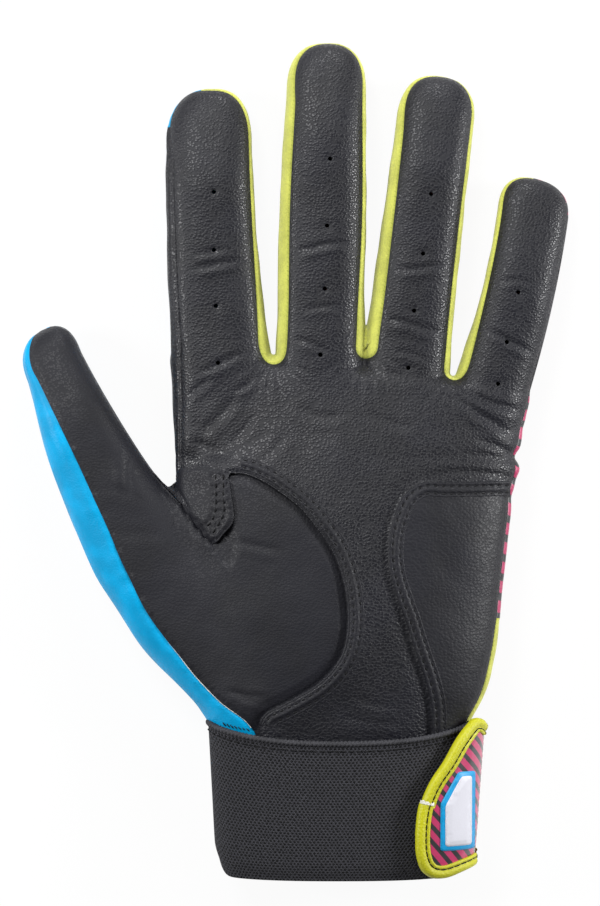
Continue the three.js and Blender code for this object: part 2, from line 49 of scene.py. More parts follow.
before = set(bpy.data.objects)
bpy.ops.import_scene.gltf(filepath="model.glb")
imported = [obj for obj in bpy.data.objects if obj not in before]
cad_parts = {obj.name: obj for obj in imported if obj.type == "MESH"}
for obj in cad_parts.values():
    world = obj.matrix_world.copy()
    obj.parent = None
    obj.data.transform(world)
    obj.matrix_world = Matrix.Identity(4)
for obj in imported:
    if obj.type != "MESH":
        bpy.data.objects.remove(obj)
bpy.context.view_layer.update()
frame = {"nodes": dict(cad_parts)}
MM = 0.001

# The form of the hand, in millimetres. +Y runs from wrist to fingertips and +Z is the palm side.

# How far the form lies lower than the middle of its sections, and the powers that round its sections.
FORM_DROP = 0.4
DIGIT_POWER = 2.7
PALM_POWER = 2.4
TIP_POWER = 2.5
# How much a digit thins towards its tip, and over what length.
TIP_TAPER, TIP_RUN = 0.2, 30
# How wide the fingers, the palm and the thumb melt into one another.
FINGER_MELT, PALM_MELT, THUMB_MELT = 0.8, 1.6, 4.0
# Heights that bound the form, and the least height of a point over the floor.
FORM_TOP, FORM_LOW, FLOOR_GAP = 40.0, -8.0, 0.05
# Height of the line about which a digit bends, in metres.
HINGE_HEIGHT = 0.018


def through(xs, ys, x):
    """A smooth curve through the points (xs, ys), read at x."""
    xs, ys = np.asarray(xs, float), np.asarray(ys, float)
    slope = np.gradient(ys, xs)
    i = np.clip(np.searchsorted(xs, x) - 1, 0, len(xs) - 2)
    h = xs[i + 1] - xs[i]
    t = np.clip((x - xs[i]) / h, 0, 1)
    return (
        (2 * t**3 - 3 * t**2 + 1) * ys[i]
        + (t**3 - 2 * t**2 + t) * h * slope[i]
        + (3 * t**2 - 2 * t**3) * ys[i + 1]
        + (t**3 - t**2) * h * slope[i + 1]
    )


def ease(t):
    """A smooth step from 0 to 1."""
    t = np.clip(t, 0, 1)
    return t * t * (3 - 2 * t)


def hump(d, width):
    """A round hump, 1 high where d is 0."""
    return np.exp(-((d / width) ** 2))


def halve(inner, outer, outside, count):
    """Closes in on where outside turns true between inner and outer."""
    for _ in range(count):
        middle = (inner + outer) / 2
        hit = outside(middle)
        outer, inner = np.where(hit, middle, outer), np.where(hit, inner, middle)
    return inner, outer


def unit(ways):
    """The same directions, 1 long."""
    return ways / np.maximum(np.linalg.norm(ways, axis=-1, keepdims=True), 1e-12)


class Digit:
    """A finger or the thumb: a tube with a flattened section, measured along and across itself."""

    def __init__(self, root, tip, bow, half, height, tip_round, fold, give, root_round=8):
        self.root, self.tip = np.array(root, float), np.array(tip, float)
        self.length = float(np.linalg.norm(self.tip - self.root))
        self.along = (self.tip - self.root) / self.length
        self.across = np.array([self.along[1], -self.along[0]])
        self.bow, self.half, self.height = bow, half, height
        self.tip_round, self.reach = tip_round, self.length - tip_round
        self.bend_start, self.bend_end, self.root_round = fold + give[0], fold + give[1], root_round

    def lean(self, s):
        """How far the bowed middle line lies from the straight one."""
        share = np.clip(s / self.length, 0, 1)
        return -4 * self.bow * share * (1 - share)

    def half_width(self, s):
        stations = np.linspace(0, self.reach, len(self.half))
        return through(stations, self.half, np.clip(s, 0, self.reach))

    def thickness(self, s):
        share = np.clip(s / self.length, 0, 1)
        full = self.height[0] + (self.height[1] - self.height[0]) * share
        return full * (1 - TIP_TAPER * ease((s - self.length + TIP_RUN) / TIP_RUN))

    def local(self, x, y):
        """Plan points as places along and across the digit."""
        dx, dy = x - self.root[0], y - self.root[1]
        s = dx * self.along[0] + dy * self.along[1]
        return s, dx * self.across[0] + dy * self.across[1] - self.lean(s)

    def place(self, s, v):
        """Plan points at places along and across the digit."""
        return self.root + s[..., None] * self.along + (v + self.lean(s))[..., None] * self.across

    def field(self, x, y, z):
        """Below zero inside the digit, above zero outside."""
        s, v = self.local(x, y)
        wide, deep = self.half_width(s), self.thickness(s) / 2
        beyond = np.maximum(0, s - self.reach) / self.tip_round
        behind = np.maximum(0, -s) / self.root_round
        plan = (np.abs(v) / wide) ** TIP_POWER + beyond**TIP_POWER + behind**TIP_POWER
        whole = (plan ** (1 / TIP_POWER)) ** DIGIT_POWER + (np.abs(z - deep + FORM_DROP) / deep) ** DIGIT_POWER
        return (whole ** (1 / DIGIT_POWER) - 1) * deep

    def hinge(self):
        """Where the bend at the digit's root starts and ends, as points in metres."""
        ends = [self.root + s * self.along for s in (self.bend_start, self.bend_end)]
        return [(x * MM, y * MM, HINGE_HEIGHT) for x, y in ends]


# Root, tip, bow, half widths, thickness at root and tip, tip's round, fold and its give, root's round.
DIGITS = {
    "index": Digit((-18.6, 6), (-25.2, 107.6), 2.0, (15.2, 14.2, 13.1, 12.5), (21, 17), 18, 30, (-4, 14)),
    "middle": Digit((6.8, 6), (9.2, 120.8), 0.4, (14.4, 12.7, 12.6, 11.6), (22, 17.5), 15, 33, (-7, 11)),
    "ring": Digit((29.1, 6), (42.0, 111.2), 0.1, (14.6, 12.5, 11.65, 11.2), (21, 17), 13.5, 34, (-8, 10)),
    "little": Digit((47.1, -4), (70.2, 81.4), -3.2, (12.5, 11, 10.5, 10.4), (20, 15.5), 10, 33, (-4, 14), 34),
    "thumb": Digit((-14, -70), (-73.8, 37.4), 5.6, (10.8, 15.0, 13.2, 8.8), (27, 19), 11, 63, (-3, 16)),
}
FINGERS = ("index", "middle", "ring", "little")

# Rows of the palm: place along the hand, left, right, underside, upper side.
PALM_ROWS = np.array([
    (-96, -21.2, 45.8, 5.6, 28.0), (-83.6, -22.2, 47.2, 5.6, 28.4), (-75.8, -24.0, 49.9, 5.2, 29.4),
    (-69, -26.0, 53.6, 3.2, 29.8), (-56, -29, 57.2, 0.6, 30.4), (-36, -32.4, 59.6, 0, 29.6),
    (-12, -34.4, 62.4, 0, 27.4), (8, -34.6, 65.4, 0, 24), (29.6, -34, 67.4, 0, 19.4),
])
LEFT, RIGHT, UNDER, OVER = 1, 2, 3, 4
PALM_END, PALM_SLANT, PALM_END_ROUND = 29.6, 0.11, 6.0
# Bulges and dents of the little-finger edge: place along the hand, half length, how far out.
EDGE_WAVES = ((9.0, 1.5, -0.5), (1.0, 1.6, -1.5), (-3.0, 2.0, 0.7), (-11.0, 2.2, -0.5))


def palm_side(y, column):
    """One of the palm's sides at places along the hand."""
    side = through(PALM_ROWS[:, 0], PALM_ROWS[:, column], y)
    if column == RIGHT:
        for place, length, out in EDGE_WAVES:
            side = side + out * hump(y - place, length)
    return side


def palm_field(x, y, z):
    left, right, low, high = (palm_side(y, k) for k in (LEFT, RIGHT, UNDER, OVER))
    wide, deep = (right - left) / 2, (high - low) / 2
    round_ = (
        (np.abs(x - (left + right) / 2) / wide) ** PALM_POWER
        + (np.abs(z - (low + high) / 2 + FORM_DROP) / deep) ** PALM_POWER
    )
    end = PALM_END - PALM_SLANT * x
    beyond = np.maximum(0, y - end + PALM_END_ROUND) / PALM_END_ROUND
    return ((round_ ** (TIP_POWER / PALM_POWER) + beyond**TIP_POWER) ** (1 / TIP_POWER) - 1) * deep


def melt(a, b, span):
    """The union of two fields, rounded over span where they meet."""
    h = np.maximum(span - np.abs(a - b), 0) / span
    return np.minimum(a, b) - h * h * span / 4


def hand_field(x, y, z):
    """Below zero inside the filled glove, above zero outside."""
    fingers = DIGITS["index"].field(x, y, z)
    for name in FINGERS[1:]:
        fingers = melt(fingers, DIGITS[name].field(x, y, z), FINGER_MELT)
    whole = melt(fingers, palm_field(x, y, z), PALM_MELT)
    return melt(whole, DIGITS["thumb"].field(x, y, z), THUMB_MELT)


def core_height(plan):
    """The height at which plan points lie deepest in the glove, and the field there."""
    x, y = plan[:, 0], plan[:, 1]
    heights = np.linspace(4, 19, 9)
    depth = np.stack([hand_field(x, y, np.full_like(x, z)) for z in heights])
    return heights[np.argmin(depth, axis=0)], depth.min(axis=0)


def skin_height(plan, upper=True):
    """The height of the upper or the lower skin over plan points."""
    def outside(z):
        return ~(hand_field(plan[:, 0], plan[:, 1], z) < 0)

    bound = np.full(len(plan), FORM_TOP if upper else FORM_LOW)
    skin = halve(core_height(plan)[0], bound, outside, 26)[0]
    return skin if upper else np.maximum(skin, FLOOR_GAP)


# Lines in plan.

def lengths(line):
    """How far along a line each of its points lies."""
    return np.concatenate([[0], np.cumsum(np.linalg.norm(np.diff(line, axis=0), axis=1))])


def points_at(line, run, places):
    """The points of a line at the given places of its run."""
    return np.stack([np.interp(places, run, column) for column in line.T], axis=1)


def resample(line, step):
    """Points at an even step along a line, ends kept."""
    line = np.asarray(line, float)
    run = lengths(line)
    return points_at(line, run, np.linspace(0, run[-1], max(2, int(round(run[-1] / step)) + 1)))


def spline(points, step=0.7):
    """A smooth line through given points."""
    points = np.asarray(points, float)
    run = lengths(points)
    fine = np.linspace(0, run[-1], int(run[-1] / 0.2) + 2)
    curve = np.stack([through(run, points[:, k], fine) for k in range(points.shape[1])], axis=1)
    return resample(curve, step)


def sideways(line):
    """Unit vectors to the right of a line's direction."""
    way = unit(np.gradient(line, axis=0))
    return np.stack([way[:, 1], -way[:, 0]], axis=1)


def shifted(line, distance):
    return line + sideways(line) * distance


def soften(values, count):
    """A running mean of width 3, count times."""
    values = np.array(values, float)
    for _ in range(count):
        values[1:-1] = (values[:-2] + 2 * values[1:-1] + values[2:]) / 4
    return values


def inside(points, loop):
    """Which plan points lie in a closed loop."""
    x, y = points[:, 0], points[:, 1]
    odd = np.zeros(len(points), bool)
    for (ax, ay), (bx, by) in zip(loop, np.roll(loop, -1, axis=0)):
        if ay != by:
            odd ^= ((ay > y) != (by > y)) & (x < (bx - ax) * (y - ay) / (by - ay) + ax)
    return odd


def within(line, loop):
    """The points of a line that lie in a loop."""
    return line[inside(line, loop)]


def near(points, line, reach):
    """Each plan point's distance to a line, up to reach, and the nearest place along that line."""
    best, along, run = np.full(len(points), reach), np.zeros(len(points)), 0.0
    order = np.argsort(points[:, 1], kind="stable")
    tall = points[order]
    for a, b in zip(line[:-1], line[1:]):
        length = float(np.linalg.norm(b - a))
        lo, hi = np.minimum(a, b) - reach, np.maximum(a, b) + reach
        span = slice(*np.searchsorted(tall[:, 1], (lo[1], hi[1])))
        pick = order[span][(tall[span, 0] > lo[0]) & (tall[span, 0] < hi[0])]
        if len(pick) and length > 1e-9:
            t = np.clip(((points[pick] - a) @ (b - a)) / length**2, 0, 1)
            d = np.linalg.norm(points[pick] - a - t[:, None] * (b - a), axis=1)
            closer = d < best[pick]
            best[pick[closer]] = d[closer]
            along[pick[closer]] = run + t[closer] * length
        run += length
    return best, along


# Seams and edges of the front, in plan millimetres.

BALL_SEAM = spline([(-18.7, -3.8), (-14.7, -4.0), (-10.4, -5.6), (-4.4, -9.3), (1.5, -14.0), (5.6, -19.0),
                    (9.2, -23.9), (12.0, -29.6), (13.7, -35.6), (14.5, -41.5), (14.6, -46.5), (14.0, -51.5),
                    (12.6, -55.8), (9.9, -59.8), (6.4, -63.2), (1.8, -66.2), (-4.0, -69.4), (-9.0, -72.2),
                    (-10.4, -74.4), (-10.0, -78.0), (-9.6, -84.0)])
THUMB_SEAM = spline([(-71.4, 38.3), (-73.6, 37.6), (-75.6, 36.1), (-76.7, 33.4), (-76.9, 29.6), (-76.1, 26.2),
                     (-74.3, 22.9), (-70.3, 15), (-65.5, 5.3), (-61.5, -3), (-57.5, -11.8), (-53.2, -21.1),
                     (-50.1, -28.6), (-47.7, -33.5), (-42.8, -43.3), (-38, -50.1), (-33.5, -55.6),
                     (-28.3, -62.1), (-24.5, -66.1), (-21.0, -69.4), (-18.4, -71.3), (-15.9, -73.0),
                     (-13.4, -75.3), (-11.8, -78.0), (-11.2, -83.0)])
WEB_LINE = spline([(-33.6, -12.4), (-29.5, -13.5), (-25.5, -13.2), (-21.5, -8.5), (-18.7, -3.8)])
HEEL_EDGE = spline([(63.6, -6.0), (52, -6.3), (42, -6.4), (36.6, -6.3), (31.6, -9.1), (27.9, -16),
                    (26.2, -25.7), (26.7, -32), (28.7, -39.0), (30.8, -44.8), (33.2, -52.4), (34.9, -57.4),
                    (36.4, -61.6), (37.8, -66.6), (38.5, -70.4), (38.8, -76.0), (38.9, -83)])
PATCH_EDGE = spline([(-34.4, -3.4), (-34.6, -8.0), (-33.7, -13.2), (-29.8, -18.6), (-25.6, -23.6),
                     (-23.9, -24.1), (-20.6, -21.2), (-17.9, -17.6), (-17.8, -14.5), (-18.4, -10.5),
                     (-19.3, -5.2), (-20.2, -2.8), (-24, -1.6), (-29, -1.9), (-33.4, -2.6), (-34.4, -3.4)], 0.5)
# The stretches of the two lapped edges that are sewn, and how far each row of stitches lies from its edge.
BALL_LAP = BALL_SEAM[(BALL_SEAM[:, 0] > -16.5) & (BALL_SEAM[:, 1] > -75)]
HEEL_LAP = HEEL_EDGE[(HEEL_EDGE[:, 0] < 62.0) & (HEEL_EDGE[:, 1] > -80)]
BALL_ROWS, HEEL_ROWS = (1.7, 3.8), (1.3, 3.4)
PATCH_ROWS = [spline([(-23.0, -4.0), (-22.8, -10.6), (-23.0, -14.6), (-24.3, -18.0), (-27.0, -20.0)], 0.5),
              spline([(-20.7, -3.8), (-20.7, -10.6), (-20.6, -15.6), (-22.2, -18.6), (-24.2, -21.6)], 0.5)]
# The fold where the thumb laps over the crotch patch, from the crotch down to the patch's point.
THUMB_FOLD = spline([(-37.6, -6.6), (-36.0, -9.4), (-33.6, -13.4), (-29.7, -18.9), (-26.6, -22.6),
                     (-24.9, -24.6)], 0.5)
WRIST_Y = -83.0
# Finger crotches in plan: middle, half width, and how much of the fold shows.
CROTCHES = {
    "index_middle_fourchette_fold": (-6.4, 26.9, 3.6, 3.3),
    "middle_ring_fourchette_fold": (20.2, 28.7, 3.7, 4.2),
    "ring_little_fourchette_fold": (45.6, 22.4, 3.4, 2.4),
}
# Vent holes in plan.
VENTS = {
    "index": [(-23.6, 76.9), (-23.6, 60.2), (-23.0, 44.1), (-22.4, 27.7)],
    "middle": [(9.8, 86.4), (8.9, 67.1), (8.3, 49.0), (7.0, 30.0)],
    "ring": [(38.8, 76.3), (36.5, 59.1), (33.9, 42.7), (32.2, 26.3)],
    "little": [(63.9, 48.1), (60.6, 33.8), (58.0, 21.7)],
}
# Creases of the worn leather: depth, width, points.
CREASES = [
    (0.7, 2.6, [(-31, 15), (-27.3, 8.5), (-22.4, 2.0), (-16.5, -1.2)]),
    (0.28, 0.79, [(-31.5, 54.6), (-26, 55.4), (-20, 56.6), (-11.8, 57.6)]),
    (0.17, 0.71, [(-30.5, 59.0), (-24, 59.6), (-18, 60.6)]),
    (0.26, 0.87, [(-29.5, 23.8), (-24.5, 26.2), (-18, 29.4), (-11.6, 32.0)]),
    (0.24, 0.79, [(-33, 16.9), (-28.5, 20.2), (-23.3, 24.3)]),
    (0.20, 0.71, [(-19.5, 18.4), (-13, 22.0), (-9.4, 25.4)]),
    (0.29, 0.79, [(-2.6, 59.2), (4, 60.6), (10, 61.8), (17.6, 62.2)]),
    (0.17, 0.71, [(0.6, 42.6), (6, 43.6), (13.6, 43.9)]),
    (0.23, 0.79, [(-1.4, 35.0), (4, 33.4), (10.6, 30.4)]),
    (0.17, 0.71, [(11.5, 34.5), (16.2, 36.6)]),
    (0.26, 0.79, [(27.6, 55.0), (33, 54.6), (38, 55.2), (44.4, 56.6)]),
    (0.23, 0.87, [(23.4, 40.6), (30, 39.6), (37, 37.6), (44.2, 36.0)]),
    (0.17, 0.71, [(27.0, 31.4), (33, 30.4), (40, 27.4)]),
    (0.32, 0.79, [(53.6, 37.8), (59, 35.4), (64, 32.6), (69.4, 30.4)]),
    (0.17, 0.71, [(57.2, 50.6), (63, 51.6), (69.5, 50.2)]),
    (0.42, 0.95, [(45.4, 22.6), (50, 19.0), (55.4, 16.4), (60.6, 15.0), (67.4, 13.0)]),
    (0.45, 0.95, [(45.2, 19.0), (50, 15.0), (55.4, 11.2), (63.4, 6.6)]),
    (0.36, 0.79, [(50.8, 5.6), (56, 4.3), (60, 3.0), (64.0, 0.6)]),
    (0.30, 0.79, [(36.6, -4.6), (46, -3.4), (55, -3.8), (63.4, -5.0)]),
    (0.32, 1.19, [(-31, 6.4), (-26, 3.8), (-22, 1.2), (-18.4, 0.2)]),
    (0.29, 1.19, [(-28.6, 6.2), (-24, 10.4), (-20, 14.6), (-16.2, 19.2)]),
    (0.18, 0.95, [(-20.6, 3.2), (-15, 8.4), (-10.4, 14.0)]),
    (0.17, 1.03, [(-13.5, -2.2), (-7.0, 2.2), (-2.4, 8.2)]),
    (0.15, 0.95, [(-19.8, -22.6), (-11, -24.6), (-2.6, -26.3)]),
    (0.34, 1.0, [(-46.3, 6.6), (-47.8, 1.0), (-48.4, -3.4), (-47.2, -10.4)]),
    (0.08, 1.11, [(-56, -7), (-48, -9.6), (-40.4, -13.4)]),
    (0.08, 1.27, [(-52, -22), (-44, -21), (-36, -22.6)]),
    (0.13, 0.95, [(-62.4, 22), (-59, 18.8), (-56, 17.4)]),
    (0.17, 1.11, [(-2.6, 17.0), (3, 13.6), (9, 12.2), (16, 13.2)]),
    (0.17, 1.11, [(20, 14.2), (27, 10.4), (35, 9.0)]),
    (0.13, 1.03, [(17.4, -12), (18.8, -22), (19.6, -33)]),
    (0.24, 0.75, [(-20.8, -65.4), (-14.0, -67.0), (-6.6, -67.6)]),
    (0.2, 0.7, [(-17.4, -67.6), (-12.0, -68.9), (-6.6, -69.2)]),
    (0.11, 0.95, [(14.0, -66), (22, -69.4), (31, -70.4)]),
    (0.11, 0.95, [(10.0, -72), (20, -74.4), (33, -75.4)]),
]


def creased(points):
    """How far the worn leather sinks into a crease, and swells beside it, at plan points."""
    rise = np.zeros(len(points))
    for depth, width, line in CREASES:
        line = spline(line, 0.8)
        run = lengths(line)
        d, along = near(points, line, width * 6)
        below = points[:, 1] < np.interp(along, run, line[:, 1])
        fade = ease(along / (0.3 * run[-1])) * ease((run[-1] - along) / (0.3 * run[-1]))
        swell = np.where(below, 0.8, 0.25) * hump(d - 2.4 * width, 1.5 * width)
        rise += depth * fade * np.where(d < width * 6, swell - hump(d, width), 0)
    return rise


def gathers(points):
    """Fine folds that fan out into the palm from each finger crotch."""
    rise = np.zeros(len(points))
    for x, y, half, _ in CROTCHES.values():
        away = points - (x, y + half)
        far, turn = np.linalg.norm(away, axis=1), np.arctan2(away[:, 0], -away[:, 1])
        fan = hump(far - half - 5, 4.5) * ease((1.4 - np.abs(turn)) / 0.5)
        rise += 0.1 * fan * np.cos(turn * 21)
    return rise


def stitch_pitch():
    return bpy.context.scene.glove_sizes.stitch_pitch / MM


def stitch_pull(along):
    """How hard the thread pulls at places along a row: 1 under a stitch, 0 between two."""
    return 0.5 - 0.5 * np.cos(2 * np.pi * along / stitch_pitch())


def sewn(points, row):
    """A narrow groove along a row of stitches, deepest under each stitch."""
    d, along = near(points, row, 3)
    return -hump(d, 0.45) * (0.1 + 0.28 * stitch_pull(along))


def sewn_rows(edge, offsets):
    """Rows of stitches beside a lapped edge."""
    return [resample(shifted(edge, -offset), 0.5) for offset in offsets]


def slack(points, size, seed):
    """Soft unevenness from minus one to one, with lumps of the given size."""
    return np.array([noise.noise(Vector((x / size, y / size, seed))) for x, y in points])


# The rim: the line all round the hand where the front leather meets the walls.

# The walls in order round the rim: finish, and the digit they bend with.
WALLS = {
    "ulnar_gusset": ("lime_suede", None),
    "hand_back": ("magenta_print", None),
    "little_front": ("black_leather", "little"),
    "little_back": ("magenta_print", "little"),
    "little_fourchette": ("lime_suede", "little"),
    "ring_little_fourchette_fold": ("lime_suede", None),
    "ring_fourchette_ulnar": ("lime_suede", "ring"),
    "ring_fourchette_radial": ("lime_suede", "ring"),
    "middle_ring_fourchette_fold": ("lime_suede", None),
    "middle_fourchette_ulnar": ("lime_suede", "middle"),
    "middle_fourchette_radial": ("lime_suede", "middle"),
    "index_middle_fourchette_fold": ("lime_suede", None),
    "index_fourchette": ("lime_suede", "index"),
    "index_back": ("blue_synthetic", "index"),
    "index_outer_side": ("black_leather", "index"),
    "index_outer_side_base": ("black_leather", None),
    "thumb_front": ("black_leather", "thumb"),
    "thumb_back": ("blue_synthetic", "thumb"),
    "thumb_back_base": ("blue_synthetic", None),
}
WALL_ORDER = tuple(WALLS)
# Walls that are the turned side of a front or of a back panel, and so belong to that panel's node.
SMOOTH_WALLS = ("little_front", "thumb_front")
BACK_WALLS = ("hand_back", "little_back", "index_back", "thumb_back", "thumb_back_base")
PALM_SEAMS = [name for name in WALLS if name == "hand_back" or name not in SMOOTH_WALLS + BACK_WALLS]
RIM_STEP = 0.8
ANCHOR_STEP = 3.0
CAP_COUNT, CAP_INSET, CAP_POWER = 16, 1.5, 0.8
GUSSET_END, EDGE_END = -46.0, 9.0
THUMB_CROTCH = np.array([-36.4, -8.2])


def rim_anchors():
    """Rough plan points round the rim with the wall they carry and how much of it shows from the front."""
    rows = []

    def run(points, wall, shows):
        shows = np.broadcast_to(shows, len(points))
        rows.extend((x, y, WALL_ORDER.index(wall), show) for (x, y), show in zip(points, shows))

    def edge(start, end, wall, shows):
        y = np.arange(start, end, ANCHOR_STEP)
        run(np.stack([palm_side(y, RIGHT) - 1.0, y], axis=1), wall, shows)

    def climb(name, side, wall, low, high, start=None, bend=1.0):
        digit = DIGITS[name]
        s = np.arange(digit.bend_start if start is None else start, digit.reach - 0.5, ANCHOR_STEP)
        shows = high + (low - high) * ((s[-1] - s) / (s[-1] - s[0])) ** bend
        points = digit.place(s, side * (digit.half_width(s) - shows))
        run(points[::side], wall, shows[::side])

    def cap(name, start, end, wall, shows):
        digit = DIGITS[name]
        turn = np.radians(np.linspace(start, end, CAP_COUNT))
        ahead, aside = (np.sign(c) * np.abs(c) ** CAP_POWER for c in (np.sin(turn), np.cos(turn)))
        s = digit.reach + (digit.tip_round - CAP_INSET) * ahead
        run(digit.place(s, (digit.half_width(digit.reach) - CAP_INSET) * aside), wall, shows)

    def fade(first, last):
        return np.linspace(first, last, CAP_COUNT)

    def crotch(wall):
        x, y, half, shows = CROTCHES[wall]
        turn = np.radians(np.linspace(15, 165, 9))
        run(np.stack([x + half * np.cos(turn), y + half * (1 - np.sin(turn))], axis=1), wall, shows)

    edge(WRIST_Y, GUSSET_END, "ulnar_gusset", 1.4)
    edge(GUSSET_END, EDGE_END, "hand_back", 1.1)
    climb("little", 1, "little_front", 0.35, 0.3, 26)
    cap("little", 0, 85, "little_back", fade(0.3, 0.1))
    cap("little", 95, 180, "little_fourchette", fade(0.3, 1.1))
    climb("little", -1, "little_fourchette", 2.6, 1.2, bend=3)
    crotch("ring_little_fourchette_fold")
    climb("ring", 1, "ring_fourchette_ulnar", 1.8, 1.0)
    cap("ring", 0, 85, "ring_fourchette_ulnar", fade(1.0, 0.15))
    cap("ring", 95, 180, "ring_fourchette_radial", fade(0.15, 2.1))
    climb("ring", -1, "ring_fourchette_radial", 4.0, 2.4)
    crotch("middle_ring_fourchette_fold")
    climb("middle", 1, "middle_fourchette_ulnar", 2.8, 1.15, bend=3)
    cap("middle", 0, 85, "middle_fourchette_ulnar", fade(1.15, 0.2))
    cap("middle", 95, 180, "middle_fourchette_radial", fade(0.2, 2.7))
    climb("middle", -1, "middle_fourchette_radial", 3.3, 2.9)
    crotch("index_middle_fourchette_fold")
    climb("index", 1, "index_fourchette", 3.3, 0.95, bend=3)
    cap("index", 0, 95, "index_fourchette", fade(0.9, 0.8))
    cap("index", 100, 162, "index_back", 0.1 + 0.5 * fade(0, 1) ** 4)
    cap("index", 166, 180, "index_outer_side", fade(1.2, 2.2))
    climb("index", -1, "index_outer_side", 3.4, 2.4)
    y = np.arange(18.0, -7, -ANCHOR_STEP)
    base = np.stack([palm_side(y, LEFT) + 2.2, y], axis=1)
    run(base, "index_outer_side_base", np.linspace(3.2, 1.4, len(y)))
    run([(-35.3, -6.2), (-36.1, -8.3), (-36.9, -8.4)], "index_outer_side_base", 0.9)
    climb("thumb", 1, "thumb_front", 0.35, 0.35, 70.0)
    cap("thumb", 0, 74, "thumb_front", fade(0.35, 0.3))
    return rows


# How far past the rim the glove's outline is looked for, and in what steps.
OUTLINE_IN, OUTLINE_OUT, OUTLINE_STEP = -3.0, 9.0, 0.25


def silhouette_reach(points, out):
    """How far from plan points, along their outward ways, the glove ends."""
    def outside(distance):
        return core_height(points + out * distance[:, None])[1] > 0

    reach = np.full(len(points), OUTLINE_OUT)
    still = np.ones(len(points), bool)
    for step in np.arange(OUTLINE_IN, OUTLINE_OUT, OUTLINE_STEP):
        hit = outside(np.full(len(points), step))
        reach[still & hit] = step
        still &= ~hit
    return halve(reach - OUTLINE_STEP, reach, outside, 7)[1]


def clear_of(line, middle, start, over):
    """0 near a point of the plan, 1 farther off than start and over."""
    return ease((np.linalg.norm(line - middle, axis=1) - start) / over)


def even(line):
    """The same number of points, evenly spaced again."""
    run = lengths(line)
    return points_at(line, run, np.linspace(0, run[-1], len(line)))


@lru_cache(maxsize=1)
def rim():
    """Plan points of the rim, their outward ways, their walls, and where the thumb seam starts."""
    rows = np.array(rim_anchors())
    run = lengths(rows[:, :2])
    places = np.arange(0, run[-1], RIM_STEP)
    line = points_at(rows[:, :2], run, places)
    sharp = clear_of(line, THUMB_CROTCH, 2, 4)[:, None]
    line = soften(line, 6) * sharp + soften(line, 2) * (1 - sharp)
    nearest = np.clip(np.searchsorted(run, places, side="right") - 1, 0, len(rows) - 1)
    wall = rows[nearest, 2].astype(int)
    shows = soften(np.interp(places, run, rows[:, 3]), 12)
    out = unit(soften(sideways(line), 4))
    reach = silhouette_reach(line, out)
    reach = soften(np.where(reach > 6, shows, reach), 3)
    free = clear_of(line, THUMB_CROTCH, 2, 5)
    for x, y, *_ in CROTCHES.values():
        free = np.minimum(free, clear_of(line, (x, y + 2), 5, 5))
    line = soften(even(line + out * (free * (reach - shows))[:, None]), 2)
    out = unit(soften(sideways(line), 8))
    seam = resample(THUMB_SEAM, RIM_STEP)
    turn = ease((-48 - seam[:, 1]) / 26)[:, None]
    seam_out = unit(soften(sideways(seam), 10) * (1 - turn) + np.array([-1.0, 0.0]) * turn)
    thumb = DIGITS["thumb"]
    low = thumb.local(seam[:, 0], seam[:, 1])[0] < thumb.bend_start
    seam_wall = np.where(low, WALL_ORDER.index("thumb_back_base"), WALL_ORDER.index("thumb_back"))
    return np.vstack([line, seam]), np.vstack([out, seam_out]), np.concatenate([wall, seam_wall]), len(line)


WALL_ROWS = 26
# The turn at which the walls end and the back panels start.
WALL_END = np.radians(-34.0)
WALL_REACH, WALL_STEP = 24.0, 0.75


@lru_cache(maxsize=1)
def wall_grid():
    """Points of every wall, row by row from the rim down to the back, and the run of each column."""
    line, out, wall, thumb_start = rim()
    hand = np.arange(len(line)) < thumb_start
    depth = soften(np.where(hand, 4.5, 2.5), 6)
    centre = line - out * depth[:, None]
    core = soften((skin_height(centre) + skin_height(centre, upper=False)) / 2, 8)
    first = np.arctan2(skin_height(line) - core, depth)
    share = np.linspace(0, 1, WALL_ROWS)[:, None] ** 1.15
    angle = first + (WALL_END - first) * share
    way = np.stack([out[:, 0] * np.cos(angle), out[:, 1] * np.cos(angle), np.sin(angle)], axis=-1)
    base = np.concatenate([centre, core[:, None]], axis=1)[None]

    def outside(t):
        at = base + way * t[..., None]
        return hand_field(at[..., 0], at[..., 1], at[..., 2]) > 0

    widest = np.where(hand, 9.5, WALL_REACH)
    reach = np.minimum(WALL_REACH, widest / np.maximum(np.cos(angle), 0.1))
    still = np.ones(angle.shape, bool)
    for t in np.arange(0.5, WALL_REACH, WALL_STEP):
        hit = outside(np.full(angle.shape, t))
        reach[still & hit] = np.minimum(reach[still & hit], t)
        still &= ~hit
    grid = base + way * halve(reach - WALL_STEP, reach, outside, 14)[0][..., None]
    grid[..., 2] = np.maximum(grid[..., 2], FLOOR_GAP)
    steps = np.linalg.norm(np.diff(grid, axis=0), axis=2)
    return grid, way, np.concatenate([np.zeros((1, len(line))), np.cumsum(steps, axis=0)])


# Meshes.

def stand(name, data):
    """A new object in the scene."""
    made = bpy.data.objects.new(name, data)
    bpy.context.scene.collection.objects.link(made)
    return made


def add_piece(name, points, faces, material, normals=None, uv=None):
    """A mesh object from points in millimetres."""
    mesh = bpy.data.meshes.new(name)
    mesh.from_pydata(np.asarray(points, float) * MM, [], faces)
    mesh.validate()
    mesh.shade_smooth()
    if uv is not None:
        layer = mesh.uv_layers.new(name="run")
        corner = np.empty(len(mesh.loops), int)
        mesh.loops.foreach_get("vertex_index", corner)
        layer.data.foreach_set("uv", np.asarray(uv, np.float32)[corner].ravel())
    if normals is not None:
        mesh.normals_split_custom_set_from_vertices(np.asarray(normals, float))
    mesh.materials.append(material)
    return stand(name, mesh)


def sew_on(piece, nodes=(), digit=None, body="hand"):
    """Hides the CAD parts of the given nodes, and lets a piece follow its body, or for a digit's piece bakes
    its transform.
    """
    if nodes:
        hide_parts(*nodes)
    if digit:
        start, end = DIGITS[digit].hinge()
        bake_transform(piece)
    else:
        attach(piece, body)


